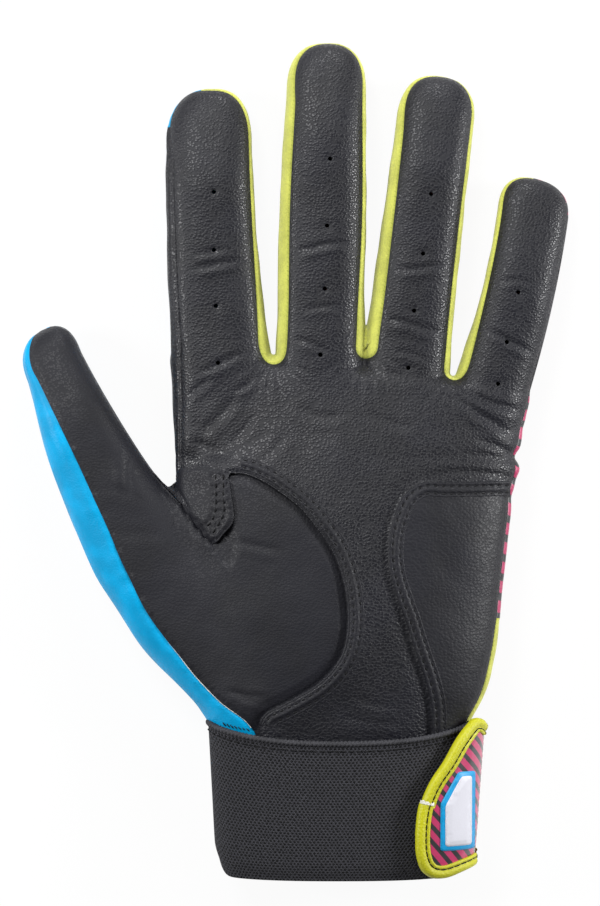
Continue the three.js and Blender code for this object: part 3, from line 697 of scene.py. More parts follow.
def vertex_normals(points, faces):
    """Area-weighted normals of a triangle mesh."""
    points, faces = np.asarray(points), np.asarray(faces)
    a, b, c = (points[faces[:, k]] for k in range(3))
    flat = np.cross(b - a, c - a)
    normals = np.zeros_like(points)
    for k in range(3):
        np.add.at(normals, faces[:, k], flat)
    return unit(normals)


def plan_net(lo, hi, step):
    """Plan points in staggered rows."""
    rows = []
    for k, y in enumerate(np.arange(lo[1], hi[1], step * 0.866)):
        x = np.arange(lo[0] + (k % 2) * step / 2, hi[0], step)
        rows.append(np.stack([x, np.full(len(x), y)], axis=1))
    return np.concatenate(rows)


def fill_plan(loop, step, lines=(), holes=(), rims=()):
    """Plan points and triangles that fill a loop, with edges along lines, points on rims, holes left open."""
    loop = np.asarray(loop, float)
    rims = [within(extra, loop) for extra in rims]
    grid = within(plan_net(loop.min(axis=0), loop.max(axis=0), step), loop)
    borders = [(np.vstack([loop, loop[:1]]), 0.55)]
    borders += [(line, 0.45) for line in lines] + [(extra, 0.5) for extra in rims]
    for line, clear in borders:
        grid = grid[near(grid, line, step)[0] > clear * step]
    for hole in holes:
        middle, radius = hole.mean(axis=0), np.linalg.norm(hole[0] - hole.mean(axis=0))
        grid = grid[np.linalg.norm(grid - middle, axis=1) > radius + 0.35 * step]
    points, edges = [], []
    for line, closed in [(loop, True), *((line, False) for line in lines), *((hole, True) for hole in holes)]:
        first, count = len(points), len(line)
        points.extend(line)
        edges.extend((first + k, first + (k + 1) % count) for k in range(count if closed else count - 1))
    points = np.vstack([points, *rims, grid])
    verts, _, faces, *_ = delaunay_2d_cdt([Vector(point) for point in points], edges, [], 1, 1e-4)
    verts = np.array([(v.x, v.y) for v in verts])
    faces = np.array([face for face in faces if len(face) == 3])
    centre = verts[faces].mean(axis=1)
    keep = inside(centre, loop)
    for hole in holes:
        keep &= ~inside(centre, hole)
    a, b, c = (verts[faces[:, k]] for k in range(3))
    area = (b - a)[:, 0] * (c - a)[:, 1] - (b - a)[:, 1] * (c - a)[:, 0]
    faces = np.where((area < 0)[:, None], faces[:, ::-1], faces)
    return verts, faces[keep & (np.abs(area) > 1e-6)]


def part_of(points, faces, chosen):
    """The points and faces of the chosen faces, numbered afresh, and the old numbers."""
    faces = faces[chosen]
    used, fresh = np.unique(faces, return_inverse=True)
    return points[used], fresh.reshape(faces.shape), used


def edge_loops(faces):
    """Open edges of a triangle mesh, in face direction."""
    edges = np.concatenate([faces[:, [0, 1]], faces[:, [1, 2]], faces[:, [2, 0]]])
    both = {tuple(e) for e in edges.tolist()}
    return [e for e in edges.tolist() if (e[1], e[0]) not in both]


def skirt(points, faces, edges, drop):
    """Adds a wall under the given open edges, drop deep."""
    ids = {k for edge in edges for k in edge}
    fresh = {k: len(points) + n for n, k in enumerate(ids)}
    low = points[list(ids)] - (0, 0, drop)
    return np.vstack([points, low]), faces.tolist() + [[fresh[b], b, a, fresh[a]] for a, b in edges]


def tube_faces(around_count, along_count, closed=True):
    """Quads of a grid of rings, ring by ring."""
    faces = []
    for k in range(around_count if closed else around_count - 1):
        here, after = k * along_count, (k + 1) % around_count * along_count
        faces.extend((here + i, after + i, after + i + 1, here + i + 1) for i in range(along_count - 1))
    return faces


def flipped(faces):
    """The same quads, seen from the other side."""
    return [(a, d, c, b) for a, b, c, d in faces]


# Shader building.

def fill(tree, node, inputs):
    """Fills a node's inputs with values or links."""
    for name, value in inputs.items():
        if isinstance(value, bpy.types.NodeSocket):
            tree.links.new(value, node.inputs[name])
        else:
            node.inputs[name].default_value = value


def put(tree, kind, inputs, **settings):
    """Adds a node, sets its settings and fills its inputs."""
    made = tree.nodes.new(kind)
    for name, value in settings.items():
        setattr(made, name, value)
    fill(tree, made, inputs)
    return made


def maths(tree, operation, *values):
    return put(tree, "ShaderNodeMath", dict(enumerate(values)), operation=operation).outputs[0]


def times(tree, a, b):
    return maths(tree, "MULTIPLY", a, b)


def plus(tree, a, b):
    return maths(tree, "ADD", a, b)


def vector_maths(tree, operation, a, b):
    return put(tree, "ShaderNodeVectorMath", {0: a, 1: b}, operation=operation).outputs[0]


def ramp(tree, value, low, high, to_low=0.0, to_high=1.0):
    """A smooth change from to_low to to_high as the value goes from low to high."""
    inputs = {"Value": value, "From Min": low, "From Max": high, "To Min": to_low, "To Max": to_high}
    return put(tree, "ShaderNodeMapRange", inputs, interpolation_type="SMOOTHSTEP").outputs[0]


def mix(tree, share, a, b):
    return put(tree, "ShaderNodeMix", {0: share, 6: a, 7: b}, data_type="RGBA").outputs[2]


def cloud(tree, place, scale, detail, roughness=0.5, output=0):
    """Soft noise at a place."""
    inputs = {"Vector": place, "Scale": scale, "Detail": detail, "Roughness": roughness}
    return put(tree, "ShaderNodeTexNoise", inputs).outputs[output]


def axes(tree, place):
    return put(tree, "ShaderNodeSeparateXYZ", {0: place}).outputs


def new_group(name, inputs, outputs):
    """An empty shader node group with named sockets; gives the tree, its inputs and its output node."""
    tree = bpy.data.node_groups.new(name, "ShaderNodeTree")
    tree.interface.new_socket(name="Vector", in_out="INPUT", socket_type="NodeSocketVector")
    for label, value in inputs.items():
        kind = "NodeSocketFloat" if isinstance(value, float) else "NodeSocketVector"
        tree.interface.new_socket(name=label, in_out="INPUT", socket_type=kind).default_value = value
    for label in outputs:
        tree.interface.new_socket(name=label, in_out="OUTPUT", socket_type="NodeSocketFloat")
    return tree, tree.nodes.new("NodeGroupInput").outputs, tree.nodes.new("NodeGroupOutput")


# How far the pebbles wander from an even net, in metres.
PEBBLE_DRIFT = 0.0004


def hide_grain():
    """Pebbled hide: Height for the bump, Peak where pebbles stand highest, Tone for slow changes."""
    sizes = {"Pebble": 0.8, "Long": 0.6, "Wrinkle": 0.0}
    tree, come, go = new_group("Hide Grain", sizes, ("Height", "Peak", "Tone"))
    scale = maths(tree, "DIVIDE", 1000.0, come["Pebble"])
    stretch = put(tree, "ShaderNodeCombineXYZ", {"X": come["Long"], "Y": 1.0, "Z": 1.0})
    drift = cloud(tree, come["Vector"], 300.0, 1.0, output="Color")
    wander = vector_maths(tree, "MULTIPLY", drift, (PEBBLE_DRIFT,) * 3)
    moved = vector_maths(tree, "ADD", come["Vector"], wander)
    flat = vector_maths(tree, "MULTIPLY", moved, stretch.outputs[0])
    pebble = put(tree, "ShaderNodeTexVoronoi", {"Vector": flat, "Scale": scale, "Randomness": 0.85})
    far = pebble.outputs["Distance"]
    dome = ramp(tree, times(tree, far, far), 0.02, 0.5, 1.0, 0.0)
    fine = cloud(tree, flat, times(tree, scale, 2.4), 2.0, 0.6)
    slow = cloud(tree, come["Vector"], 55.0, 3.0)
    fold = cloud(tree, vector_maths(tree, "MULTIPLY", moved, (0.22, 1.0, 0.5)), 520.0, 2.0)
    folded = times(tree, times(tree, fold, ramp(tree, slow, 0.4, 0.6)), come["Wrinkle"])
    height = plus(tree, times(tree, dome, 0.8), times(tree, fine, 0.12))
    fill(tree, go, {"Height": plus(tree, height, folded), "Peak": ramp(tree, dome, 0.5, 0.95), "Tone": slow})
    return tree


def fibre_nap():
    """Short fibre nap: Height for the bump and Tone for the fleck of the fibres."""
    tree, come, go = new_group("Fibre Nap", {"Fineness": 2200.0}, ("Height", "Tone"))
    fibre = cloud(tree, come["Vector"], come["Fineness"], 4.0, 0.7)
    patch = cloud(tree, come["Vector"], 140.0, 3.0)
    fill(tree, go, {"Height": fibre, "Tone": plus(tree, times(tree, fibre, 0.5), times(tree, patch, 0.5))})
    return tree


def knit_cells():
    """Staggered net of knit on a run map in millimetres: Height, Hole where a cell opens, Tone of the yarn."""
    tree, come, go = new_group("Knit Cells", {"Across": 1.14, "Down": 0.86}, ("Height", "Hole", "Tone"))
    over, up, _ = axes(tree, come["Vector"])
    shake = times(tree, maths(tree, "SUBTRACT", cloud(tree, come["Vector"], 0.35, 1.0), 0.5), 0.8)
    v = maths(tree, "DIVIDE", up, come["Down"])
    half = times(tree, maths(tree, "FLOORED_MODULO", maths(tree, "FLOOR", v), 2.0), 0.5)
    u = plus(tree, plus(tree, maths(tree, "DIVIDE", over, come["Across"]), half), shake)
    du = maths(tree, "SUBTRACT", maths(tree, "FRACT", u), 0.5)
    dv = times(tree, maths(tree, "SUBTRACT", maths(tree, "FRACT", v), 0.5), 0.8)
    far = maths(tree, "SQRT", plus(tree, times(tree, du, du), times(tree, dv, dv)))
    wide = ramp(tree, cloud(tree, come["Vector"], 0.9, 2.0), 0.3, 0.7, 0.32, 0.46)
    hole = maths(tree, "SUBTRACT", 1.0, ramp(tree, maths(tree, "DIVIDE", far, wide), 0.45, 1.0))
    yarn = cloud(tree, come["Vector"], 5.0, 3.0)
    height = plus(tree, times(tree, hole, -0.9), times(tree, yarn, 0.4))
    fill(tree, go, {"Height": height, "Hole": hole, "Tone": yarn})
    return tree


def print_stripes():
    """Parallel stripes: Way holds the stripes per unit along each axis, Ink is the ground between them."""
    tree, come, go = new_group("Print Stripes", {"Way": (1.0, 0.0, 0.0), "Edge": 0.28}, ("Ink",))
    tread = put(tree, "ShaderNodeVectorMath", {0: come["Vector"], 1: come["Way"]}, operation="DOT_PRODUCT")
    wave = maths(tree, "SUBTRACT", maths(tree, "FRACT", tread.outputs["Value"]), 0.5)
    inked = ramp(tree, maths(tree, "ABSOLUTE", wave), come["Edge"], plus(tree, come["Edge"], 0.04))
    fill(tree, go, {"Ink": inked})
    return tree


GROUPS = {"Hide Grain": hide_grain, "Fibre Nap": fibre_nap, "Knit Cells": knit_cells,
          "Print Stripes": print_stripes}


def use_group(tree, name, place, **inputs):
    """Places a shared effect, built at its first use; gives its outputs."""
    group = bpy.data.node_groups.get(name) or GROUPS[name]()
    return put(tree, "ShaderNodeGroup", {"Vector": place, **inputs}, node_tree=group).outputs


def own_place(tree):
    return tree.nodes.new("ShaderNodeTexCoord").outputs["Object"]


def run_place(tree):
    return tree.nodes.new("ShaderNodeTexCoord").outputs["UV"]


def rgba(colour, scale=1.0):
    """One of the glove's colours, made darker or lighter."""
    return (*(scale * part for part in getattr(bpy.context.scene.glove_colours, colour)), 1.0)


def shades(tree, share, colour, dark, light):
    """A colour between a darker and a lighter shade of itself."""
    return mix(tree, share, rgba(colour, dark), rgba(colour, light))


def fleck(tree, tone):
    """A group's Tone with its contrast raised."""
    return ramp(tree, tone, 0.35, 0.65)


def gloss(tree, tone, dull, bright):
    """Roughness that changes slowly with a group's Tone."""
    return ramp(tree, tone, 0.3, 0.7, dull, bright)


def new_finish(name):
    """A material with one Principled shader; gives the material and its tree."""
    made = bpy.data.materials.new(f"glove_{name}")
    made.use_nodes = True
    return made, made.node_tree


def dress(made, tone, rough, height, relief, strength=1.0, plain=None):
    """Joins colour, roughness and bump, its relief in metres, to a finish's shader; sets plain inputs."""
    tree = made.node_tree
    bump = put(tree, "ShaderNodeBump", {"Height": height, "Distance": relief, "Strength": strength})
    inputs = {"Base Color": tone, "Roughness": rough, "Normal": bump.outputs[0], **(plain or {})}
    fill(tree, tree.nodes["Principled BSDF"], inputs)
    return made


# Hides: size of a pebble in millimetres, relief, roughness between and on the pebbles, specular level.
HIDES = {
    "black_leather": (0.72, 0.00011, 0.56, 0.34, 0.44),
    "thumb_leather": (0.62, 0.000045, 0.62, 0.48, 0.36),
    "heel_leather": (0.75, 0.00005, 0.56, 0.46, 0.4),
}
# Napped finishes: colour, fineness, darkest and lightest shade, whether flecked, roughness, relief, strength
# of the bump, plain inputs.
NAPPED = {
    "rolled_elastic": ("elastic", 2400.0, 0.5, 1.4, True, 0.75, 0.0002, 0.8, {}),
    "raw_edge": ("raw_edge", 2800.0, 0.7, 1.0, True, 0.9, 0.0002, 0.8, {}),
    "black_thread": ("thread", 3500.0, 0.6, 1.6, True, 0.7, 0.0001, 0.6, {"Specular IOR Level": 0.2}),
    "black_pile": ("elastic", 1300.0, 0.3, 1.0, False, 0.9, 0.0006, 1.0, {"Sheen Weight": 0.3}),
    "grey_label": ("plate", 1500.0, 0.92, 1.04, False, (0.5, 0.36), 0.00006, 0.4, {}),
    "blue_label": ("frame", 1500.0, 0.8, 1.1, False, (0.5, 0.36), 0.00006, 0.4, {}),
}


def hide(name):
    """Black hide, paler on its pebbles from wear and from a painted glint on each pebble top."""
    pebble, relief, between, on_top, shine = HIDES[name]
    made, tree = new_finish(name)
    grain = use_group(tree, "Hide Grain", own_place(tree), Pebble=pebble, Long=0.8, Wrinkle=0.1)
    dark = shades(tree, fleck(tree, grain["Tone"]), "leather", 0.8, 1.2)
    # Wear and painted highlight: every pebble top is mixed towards a paler colour, whatever the light.
    tone = mix(tree, times(tree, grain["Peak"], 0.06), dark, rgba("leather_worn"))
    rough = ramp(tree, grain["Peak"], 0.0, 1.0, between, on_top)
    return dress(made, tone, rough, grain["Height"], relief, plain={"Specular IOR Level": shine})


def napped(name):
    """Elastic, thread, pile, card or raw edge: one colour with a nap."""
    colour, fineness, dark, light, flecked, rough, relief, strength, plain = NAPPED[name]
    made, tree = new_finish(name)
    nap = use_group(tree, "Fibre Nap", own_place(tree), Fineness=fineness)
    tone = shades(tree, fleck(tree, nap["Tone"]) if flecked else nap["Tone"], colour, dark, light)
    rough = gloss(tree, nap["Tone"], *rough) if isinstance(rough, tuple) else rough
    return dress(made, tone, rough, nap["Height"], relief, strength, plain)


def lime_suede(name):
    """Suede with slanting thread marks and a painted shade along its seam; the run map starts at the seam."""
    made, tree = new_finish(name)
    nap = use_group(tree, "Fibre Nap", own_place(tree), Fineness=1900.0)
    tone = shades(tree, fleck(tree, nap["Tone"]), "lime", 0.72, 1.05)
    along, down, _ = axes(tree, run_place(tree))
    slant = plus(tree, along, times(tree, down, 0.7))
    beat = maths(tree, "FRACT", plus(tree, maths(tree, "DIVIDE", slant, 1.3), nap["Tone"]))
    mark = times(tree, ramp(tree, beat, 0.12, 0.26, 1.0, 0.0), ramp(tree, down, 0.55, 1.15, 1.0, 0.0))
    # Painted shade: the suede is darkened over the first millimetre from its seam, where the wall meets the
    # leather.
    shade = ramp(tree, down, 0.2, 1.0, 0.55, 0.0)
    tone = mix(tree, maths(tree, "MAXIMUM", times(tree, mark, 0.75), shade), tone, rgba("lime_mark_and_shade"))
    return dress(made, tone, 0.85, nap["Height"], 0.0003, 0.8, {"Sheen Weight": 0.25})


def blue_synthetic(name):
    made, tree = new_finish(name)
    place = own_place(tree)
    grain = use_group(tree, "Hide Grain", place, Pebble=0.55, Long=0.9)
    tone = shades(tree, ramp(tree, cloud(tree, place, 120.0, 2.0), 0.38, 0.66), "blue", 0.82, 1.0)
    rough = gloss(tree, grain["Tone"], 0.5, 0.36)
    return dress(made, tone, rough, grain["Height"], 0.00008, 0.5, {"Specular IOR Level": 0.15})


def lime_binding(name):
    made, tree = new_finish(name)
    grain = use_group(tree, "Hide Grain", own_place(tree), Pebble=0.7, Long=0.9)
    tone = shades(tree, fleck(tree, grain["Tone"]), "binding", 0.85, 1.05)
    return dress(made, tone, gloss(tree, grain["Tone"], 0.55, 0.42), grain["Height"], 0.00012, 0.6)


def magenta_print(name):
    made, tree = new_finish(name)
    place = own_place(tree)
    stripes = use_group(tree, "Print Stripes", place, Way=(132.68, 166.92, 45.0), Edge=0.28)
    nap = use_group(tree, "Fibre Nap", place, Fineness=2600.0)
    tone = mix(tree, stripes["Ink"], rgba("magenta"), rgba("ink"))
    tone = mix(tree, times(tree, nap["Tone"], 0.3), tone, rgba("ink"))
    return dress(made, tone, gloss(tree, nap["Tone"], 0.5, 0.38), nap["Height"], 0.00006, 0.5)


def strap_print(name):
    made, tree = new_finish(name)
    stripes = use_group(tree, "Print Stripes", run_place(tree), Way=(-0.2775, 0.2442, 0.0), Edge=0.26)
    nap = use_group(tree, "Fibre Nap", own_place(tree), Fineness=2600.0)
    tone = mix(tree, stripes["Ink"], rgba("magenta"), rgba("ink"))
    coat = {"Coat Weight": 1.0, "Coat Roughness": 0.22}
    return dress(made, tone, gloss(tree, nap["Tone"], 0.42, 0.32), nap["Height"], 0.00005, 0.5, coat)


def black_stretch(name):
    """Ribbed stretch cloth, its ribs 1.8 mm apart."""
    made, tree = new_finish(name)
    place = own_place(tree)
    rib = maths(tree, "PINGPONG", times(tree, axes(tree, place)[0], 1000.0), 0.9)
    nap = use_group(tree, "Fibre Nap", place, Fineness=1800.0)
    tone = shades(tree, nap["Tone"], "elastic", 0.7, 1.2)
    height = plus(tree, rib, times(tree, nap["Height"], 0.3))
    return dress(made, tone, 0.8, height, 0.0004, 0.8, {"Sheen Weight": 0.15})


def black_elastic(name):
    made, tree = new_finish(name)
    knit = use_group(tree, "Knit Cells", run_place(tree))
    tone = shades(tree, knit["Tone"], "elastic", 0.7, 1.5)
    # Painted shade: the knit's open cells are darkened nearly to black, as the shade inside the holes.
    tone = mix(tree, times(tree, knit["Hole"], 0.95), tone, rgba("elastic", 0.06))
    rough = gloss(tree, knit["Tone"], 0.8, 0.6)
    return dress(made, tone, rough, knit["Height"], 0.00045, plain={"Specular IOR Level": 0.25})


FINISHES = {
    **dict.fromkeys(HIDES, hide),
    **dict.fromkeys(NAPPED, napped),
    "lime_suede": lime_suede,
    "blue_synthetic": blue_synthetic,
    "lime_binding": lime_binding,
    "magenta_print": magenta_print,
    "strap_print": strap_print,
    "black_stretch": black_stretch,
    "black_elastic": black_elastic,
}


def finish(name):
    """One of the glove's finishes, made once."""
    return bpy.data.materials.get(f"glove_{name}") or FINISHES[name](name)


# Front leather.

def rim_line(*walls):
    """Plan points of the rim along the given walls."""
    line, _, wall, _ = rim()
    return line[np.isin(wall, [WALL_ORDER.index(w) for w in walls])]


def rim_split():
    """The index of the first rim point on the thumb."""
    return int(np.argmax(rim()[2] == WALL_ORDER.index("thumb_front")))


def seam_sink(points, walls, depth, width):
    """A rounded fall of the leather towards the seams it shares with the given walls."""
    fall = np.zeros(len(points))
    for wall in walls:
        d, _ = near(points, rim_line(wall), width * 4)
        fall = np.maximum(fall, depth * hump(d, width))
    return fall


def bend_line(name):
    """The line straight across a digit where its bend starts, past both its sides."""
    digit = DIGITS[name]
    return resample(digit.place(np.full(2, digit.bend_start), np.array([-22.0, 22.0])), 0.8)


VENT_RADIUS, VENT_SIDES, VENT_DEPTH = 0.66, 12, 2.2


def vent_ring(middle):
    turn = np.linspace(0, 2 * np.pi, VENT_SIDES, endpoint=False)
    return np.stack([middle[0] + VENT_RADIUS * np.cos(turn), middle[1] + VENT_RADIUS * np.sin(turn)], axis=1)


def vent_holes():
    return np.array([hole for group in VENTS.values() for hole in group])


def dent(points, middle, size):
    """A round dent, 1 deep at its middle."""
    return np.exp(-(((points - middle) / size) ** 2).sum(axis=1))


def beside(points, line, reach):
    """Distance to a line, place along it, and how far to its right, for plan points."""
    d, along = near(points, line, reach)
    at = np.clip(np.searchsorted(lengths(line), along), 0, len(line) - 1)
    return d, along, np.sum((points - line[at]) * sideways(line)[at], axis=1)


def heel_dip(points):
    """How far the palm sinks towards the heel patch's edge, deepest near the cuff."""
    d, along, right = beside(points, HEEL_EDGE, 7)
    return np.where((right > 0) & (d < 6.9), (0.3 + 0.3 * ease((along - 58) / 22)) * hump(d, 3.0), 0.0)


def palm_relief(points):
    """Height of the palm leather over the bare form."""
    rise = creased(points) + gathers(points) + 0.28 * slack(points, 13.0, 1.5) + 0.08 * slack(points, 4.5, 7.5)
    rise -= seam_sink(points, PALM_SEAMS, 0.4, 0.45)
    lap, _ = near(points, BALL_SEAM, 14)
    rise += 1.1 * hump(lap, 6.5) - 0.4 * hump(lap, 0.45)
    rise -= 1.5 * dent(points, (-29.0, -0.5), (4.0, 5.0))
    rise -= heel_dip(points)
    for hole in vent_holes():
        rise -= 0.25 * hump(np.linalg.norm(points - hole, axis=1), 1.2)
    return rise


def palm_height(plan):
    """Height of the palm leather."""
    return skin_height(plan) + palm_relief(plan)


def heel_height(plan):
    """Height of the heel patch."""
    return palm_height(plan) + HEEL_THICKNESS


def around(rows):
    """Extra plan points beside rows of stitches, for the leather to pucker on."""
    return [resample(shifted(row, side), 0.5) for row in rows for side in (-0.9, -0.45, 0.001, 0.45, 0.9)]


HIDE_STEP = 0.72


def sheet(plan, faces, relief):
    """Points, triangles and normals of a hide over the form."""
    points = np.column_stack([plan, skin_height(plan) + relief(plan)])
    return points, faces, vertex_normals(points, faces)


def ball_seam_in_plan():
    return BALL_SEAM[BALL_SEAM[:, 1] > WRIST_Y]


def palm_sheet():
    """The whole front hide: palm and finger fronts."""
    line = rim()[0]
    seam = ball_seam_in_plan()
    wrist = resample([(seam[-1][0], WRIST_Y), (line[0][0], WRIST_Y)], 1.2)
    loop = np.vstack([line[: rim_split()], WEB_LINE[1:-1], seam, wrist[:-1]])
    folds = [within(bend_line(name), loop) for name in FINGERS]
    rims = [shifted(BALL_SEAM, -0.25), shifted(BALL_SEAM, -0.6)]
    rims += [shifted(HEEL_EDGE, 0.3), shifted(HEEL_EDGE, 1.0)]
    holes = [vent_ring(hole) for hole in vent_holes()]
    return sheet(*fill_plan(loop, HIDE_STEP, folds, holes, rims), palm_relief)


def thumb_fold(points):
    """The thumb's swell along its fold over the crotch patch, and its dive under the patch."""
    d, along, right = beside(points, THUMB_FOLD, 9)
    fade = ease((along + 1) / 4) * ease((25 - along) / 8)
    return fade * np.where(right < 0, -1.6 * ease(d / 0.8) * ease((9 - d) / 3), 0.9 * hump(d, 2.6))


def thumb_relief(points):
    """Height of the thumb's leather over the bare form."""
    rise = creased(points) + 0.3 * slack(points, 15.0, 3.5) + 0.08 * slack(points, 5.0, 9.5)
    rise += thumb_fold(points)
    rise -= 0.35 * hump(near(points, THUMB_SEAM, 5)[0], 0.45)
    return rise - 0.8 * hump(near(points, BALL_SEAM, 8)[0], 1.3)


def thumb_sheet():
    """The thumb front and the ball of the thumb in one hide piece."""
    line = rim()[0]
    under = shifted(ball_seam_in_plan(), -1.6)
    under = under[under[:, 1] > WRIST_Y]
    wrist = resample([line[-1], (under[-1][0], WRIST_Y)], 1.2)
    loop = np.vstack([line[rim_split():], wrist[1:-1], under[::-1], WEB_LINE[::-1][1:]])
    folds = [within(bend_line("thumb"), loop)]
    rims = [shifted(BALL_SEAM, offset) for offset in (0.5, 1.1, 1.8, 2.6)]
    return sheet(*fill_plan(loop, HIDE_STEP, folds, (), rims), thumb_relief)


# How far to each side of its middle line a digit's faces are looked for.
FINGER_SPAN, THUMB_SPAN = 16, 24


def digit_faces(points, faces, name):
    """Which faces belong to a digit beyond its bend's start."""
    digit = DIGITS[name]
    centre = points[faces].mean(axis=1)
    s, v = digit.local(centre[:, 0], centre[:, 1])
    return (s > digit.bend_start) & (np.abs(v) < (THUMB_SPAN if name == "thumb" else FINGER_SPAN))


def finger_faces(points, faces):
    """Which faces belong to each finger, and which to none."""
    groups, free = {}, np.ones(len(faces), bool)
    for name in FINGERS:
        groups[name] = digit_faces(points, faces, name) & free
        free = free & ~groups[name]
    return groups, free


def vent_walls(points, faces):
    """Short walls down from the vent holes of a front."""
    middles = vent_holes()
    edges = [e for e in edge_loops(faces) if np.linalg.norm(middles - points[e[0], :2], axis=1).min() < 1.0]
    return skirt(points, faces, edges, VENT_DEPTH)


def front_piece(name, node, hide, chosen, digit=None, kind="black_leather"):
    points, faces, normals = hide
    part, fresh, used = part_of(points, faces, chosen)
    full, quads = vent_walls(part, fresh)
    shade = np.vstack([normals[used], np.tile((0.0, 0.0, 1.0), (len(full) - len(part), 1))])
    sew_on(add_piece(name, full, quads, finish(kind), shade), (node,), digit)


def build_palm_leather():
    hide = palm_sheet()
    fingers, palm = finger_faces(*hide[:2])
    for name, chosen in fingers.items():
        front_piece(f"{name}_front_leather", f"{name}_front", hide, chosen, name)
    front_piece("palm_leather", "palm_panel", hide, palm)


def build_thumb_leather():
    hide = thumb_sheet()
    thumb = digit_faces(*hide[:2], "thumb")
    front_piece("thumb_front_leather", "thumb_front", hide, thumb, "thumb", "thumb_leather")
    front_piece("ball_of_thumb_leather", "thenar_panel", hide, ~thumb, kind="thumb_leather")


# Thickness of the two patches, and how far their cut edges reach below their upper sides.
HEEL_THICKNESS, CROTCH_THICKNESS, PATCH_TUCK = 0.85, 1.2, 1.5


def raised_patch(name, node, loop, lie, rows, thickness, kind):
    """A second layer of hide on the front, with a rounded cut edge and sewn grooves."""
    edge = np.vstack([loop, loop[:1]])
    inward = -1 if np.sum(np.cross(loop, np.roll(loop, -1, axis=0))) > 0 else 1
    rims = [shifted(edge, inward * offset) for offset in (0.22, 0.55)]
    plan, faces = fill_plan(loop, HIDE_STEP, (), (), rims + around(rows))
    rise = thickness - 0.45 * hump(near(plan, edge, 3)[0], 0.28)
    for row in rows:
        rise += sewn(plan, row)
    points = np.column_stack([plan, skin_height(plan) + lie(plan) + rise])
    full, quads = skirt(points, faces, edge_loops(faces), thickness + PATCH_TUCK)
    sew_on(add_piece(name, full, quads, finish(kind)), (node,))


def heel_loop():
    """The heel patch's outline in plan."""
    line, _, wall, _ = rim()
    side = line[: int(np.argmax(wall == WALL_ORDER.index("little_front")))]
    side = side[(side[:, 1] < -6.6) & (side[:, 1] > WRIST_Y)]
    side = side - np.array([0.5, 0.0])
    wrist = resample([(HEEL_EDGE[-1][0], WRIST_Y), (side[0][0], WRIST_Y)], 1.0)
    return np.vstack([HEEL_EDGE[:-1][HEEL_EDGE[:-1, 0] < side[-1][0] - 0.4], wrist[:-1], side])


def patch_lie(plan):
    """How the crotch patch lies on the form: hollow in the middle, with a welt along its right edge."""
    welt, _ = near(plan, PATCH_EDGE[(PATCH_EDGE[:, 0] > -21.5) & (PATCH_EDGE[:, 1] < -2.6)], 4)
    hollow = dent(plan, (-28.4, -9.0), (4.6, 5.0))
    tuck, _ = near(plan, THUMB_FOLD, 6)
    lie = 0.2 * slack(plan, 9.0, 4.4) - 0.1 - 1.0 * hollow - 1.5 * hump(tuck, 1.6)
    return lie + 0.4 * hump(welt - 0.8, 0.9)


def patch_height(plan):
    """Height of the crotch patch's grooves, less its thickness."""
    return skin_height(plan) + patch_lie(plan) + sum(sewn(plan, row) for row in PATCH_ROWS)


def seam_band(name, edge, rows, height, lip):
    """A smooth strip of hide along a lapped edge, turned down by lip there and pulled down at every stitch."""
    line = resample(edge, 0.3)
    offsets = np.arange(0.12, rows[-1] + 1.5, 0.2)
    plan = np.stack([shifted(line, -offset) for offset in offsets])
    lie = 0.12 * ease(offsets / 0.5) - 0.16 + 0.16 * ease(offsets / 0.3)
    lie += 0.16 * hump(offsets - np.mean(rows), 0.7) - 0.4 * ease((offsets - rows[-1] - 0.6) / 0.8)
    z = height(plan.reshape(-1, 2)).reshape(plan.shape[:2]) + lie[:, None]
    for offset in rows:
        pull = stitch_pull(lengths(shifted(line, -offset)))
        z -= hump(offsets - offset, 0.36)[:, None] * (0.1 + 0.34 * pull**1.5)
    plan, z = np.concatenate([plan[1:2], plan]), np.concatenate([z[:1] - lip, z])
    points = np.concatenate([plan, z[..., None]], axis=-1).reshape(-1, 3)
    faces = [face[::-1] for face in tube_faces(len(z), len(line), closed=False)]
    sew_on(add_piece(name, points, faces, finish("thumb_leather")))


def build_patches():
    raised_patch("heel_patch_leather", "heel_patch", heel_loop(), palm_relief, (), HEEL_THICKNESS,
                 "heel_leather")
    seam_band("heel_patch_seam", HEEL_LAP, HEEL_ROWS, heel_height, 0.6)
    seam_band("ball_seam", BALL_LAP, BALL_ROWS, palm_height, 3.2)
    raised_patch("crotch_patch_leather", "thumb_crotch_patch", PATCH_EDGE[:-1], patch_lie, PATCH_ROWS,
                 CROTCH_THICKNESS, "thumb_leather")


# Walls.

def ripple(along, size, row, seed):
    """Unevenness along a line from minus one to one, with waves of the given size."""
    return np.array([noise.noise(Vector((a / size, row, seed))) for a in along])


@lru_cache(maxsize=1)
def dressed_walls():
    """The wall points with seam dips, puckers and ridges, their normals and the run along the rim."""
    grid, way, run = wall_grid()
    line, _, wall, _ = rim()
    along = lengths(line)
    names = np.array(WALL_ORDER)[wall]
    smooth, back = np.isin(names, SMOOTH_WALLS)[None], np.isin(names, BACK_WALLS)[None]
    ridged = np.isin(names, ("index_outer_side", "index_outer_side_base"))[None]
    blue = np.isin(names, ("thumb_back", "thumb_back_base"))[None]
    rest = run[-1][None] - run
    sink = np.where(smooth, 0.0, 0.6 * hump(run, 0.8))
    sink += np.where(back, 0.0, 0.5 * hump(rest, 0.9))
    sink += 0.22 * ripple(along, 3.0, 0.3, 2.2)[None] * hump(run, 3.5) * ~smooth
    sink += np.where(ridged, 0.24 * np.cos(run * 2 * np.pi / 1.25) * hump(run, 4.5), 0)
    sink += 0.35 * ripple(along, 9.0, 5.3, 1.2)[None] * ~smooth * ~back * hump(run - 7, 5)
    waves = np.array([ripple(along, 16, row / 11, 8.4) for row in range(WALL_ROWS)])
    sink += 0.8 * waves * blue * (1 - hump(run, 3)) * ease(rest / 4)
    points = grid - way * sink[..., None]
    points[..., 2] = np.maximum(points[..., 2], FLOOR_GAP)
    normals = unit(np.cross(np.gradient(points, axis=0), np.gradient(points, axis=1)))
    return points, normals, along


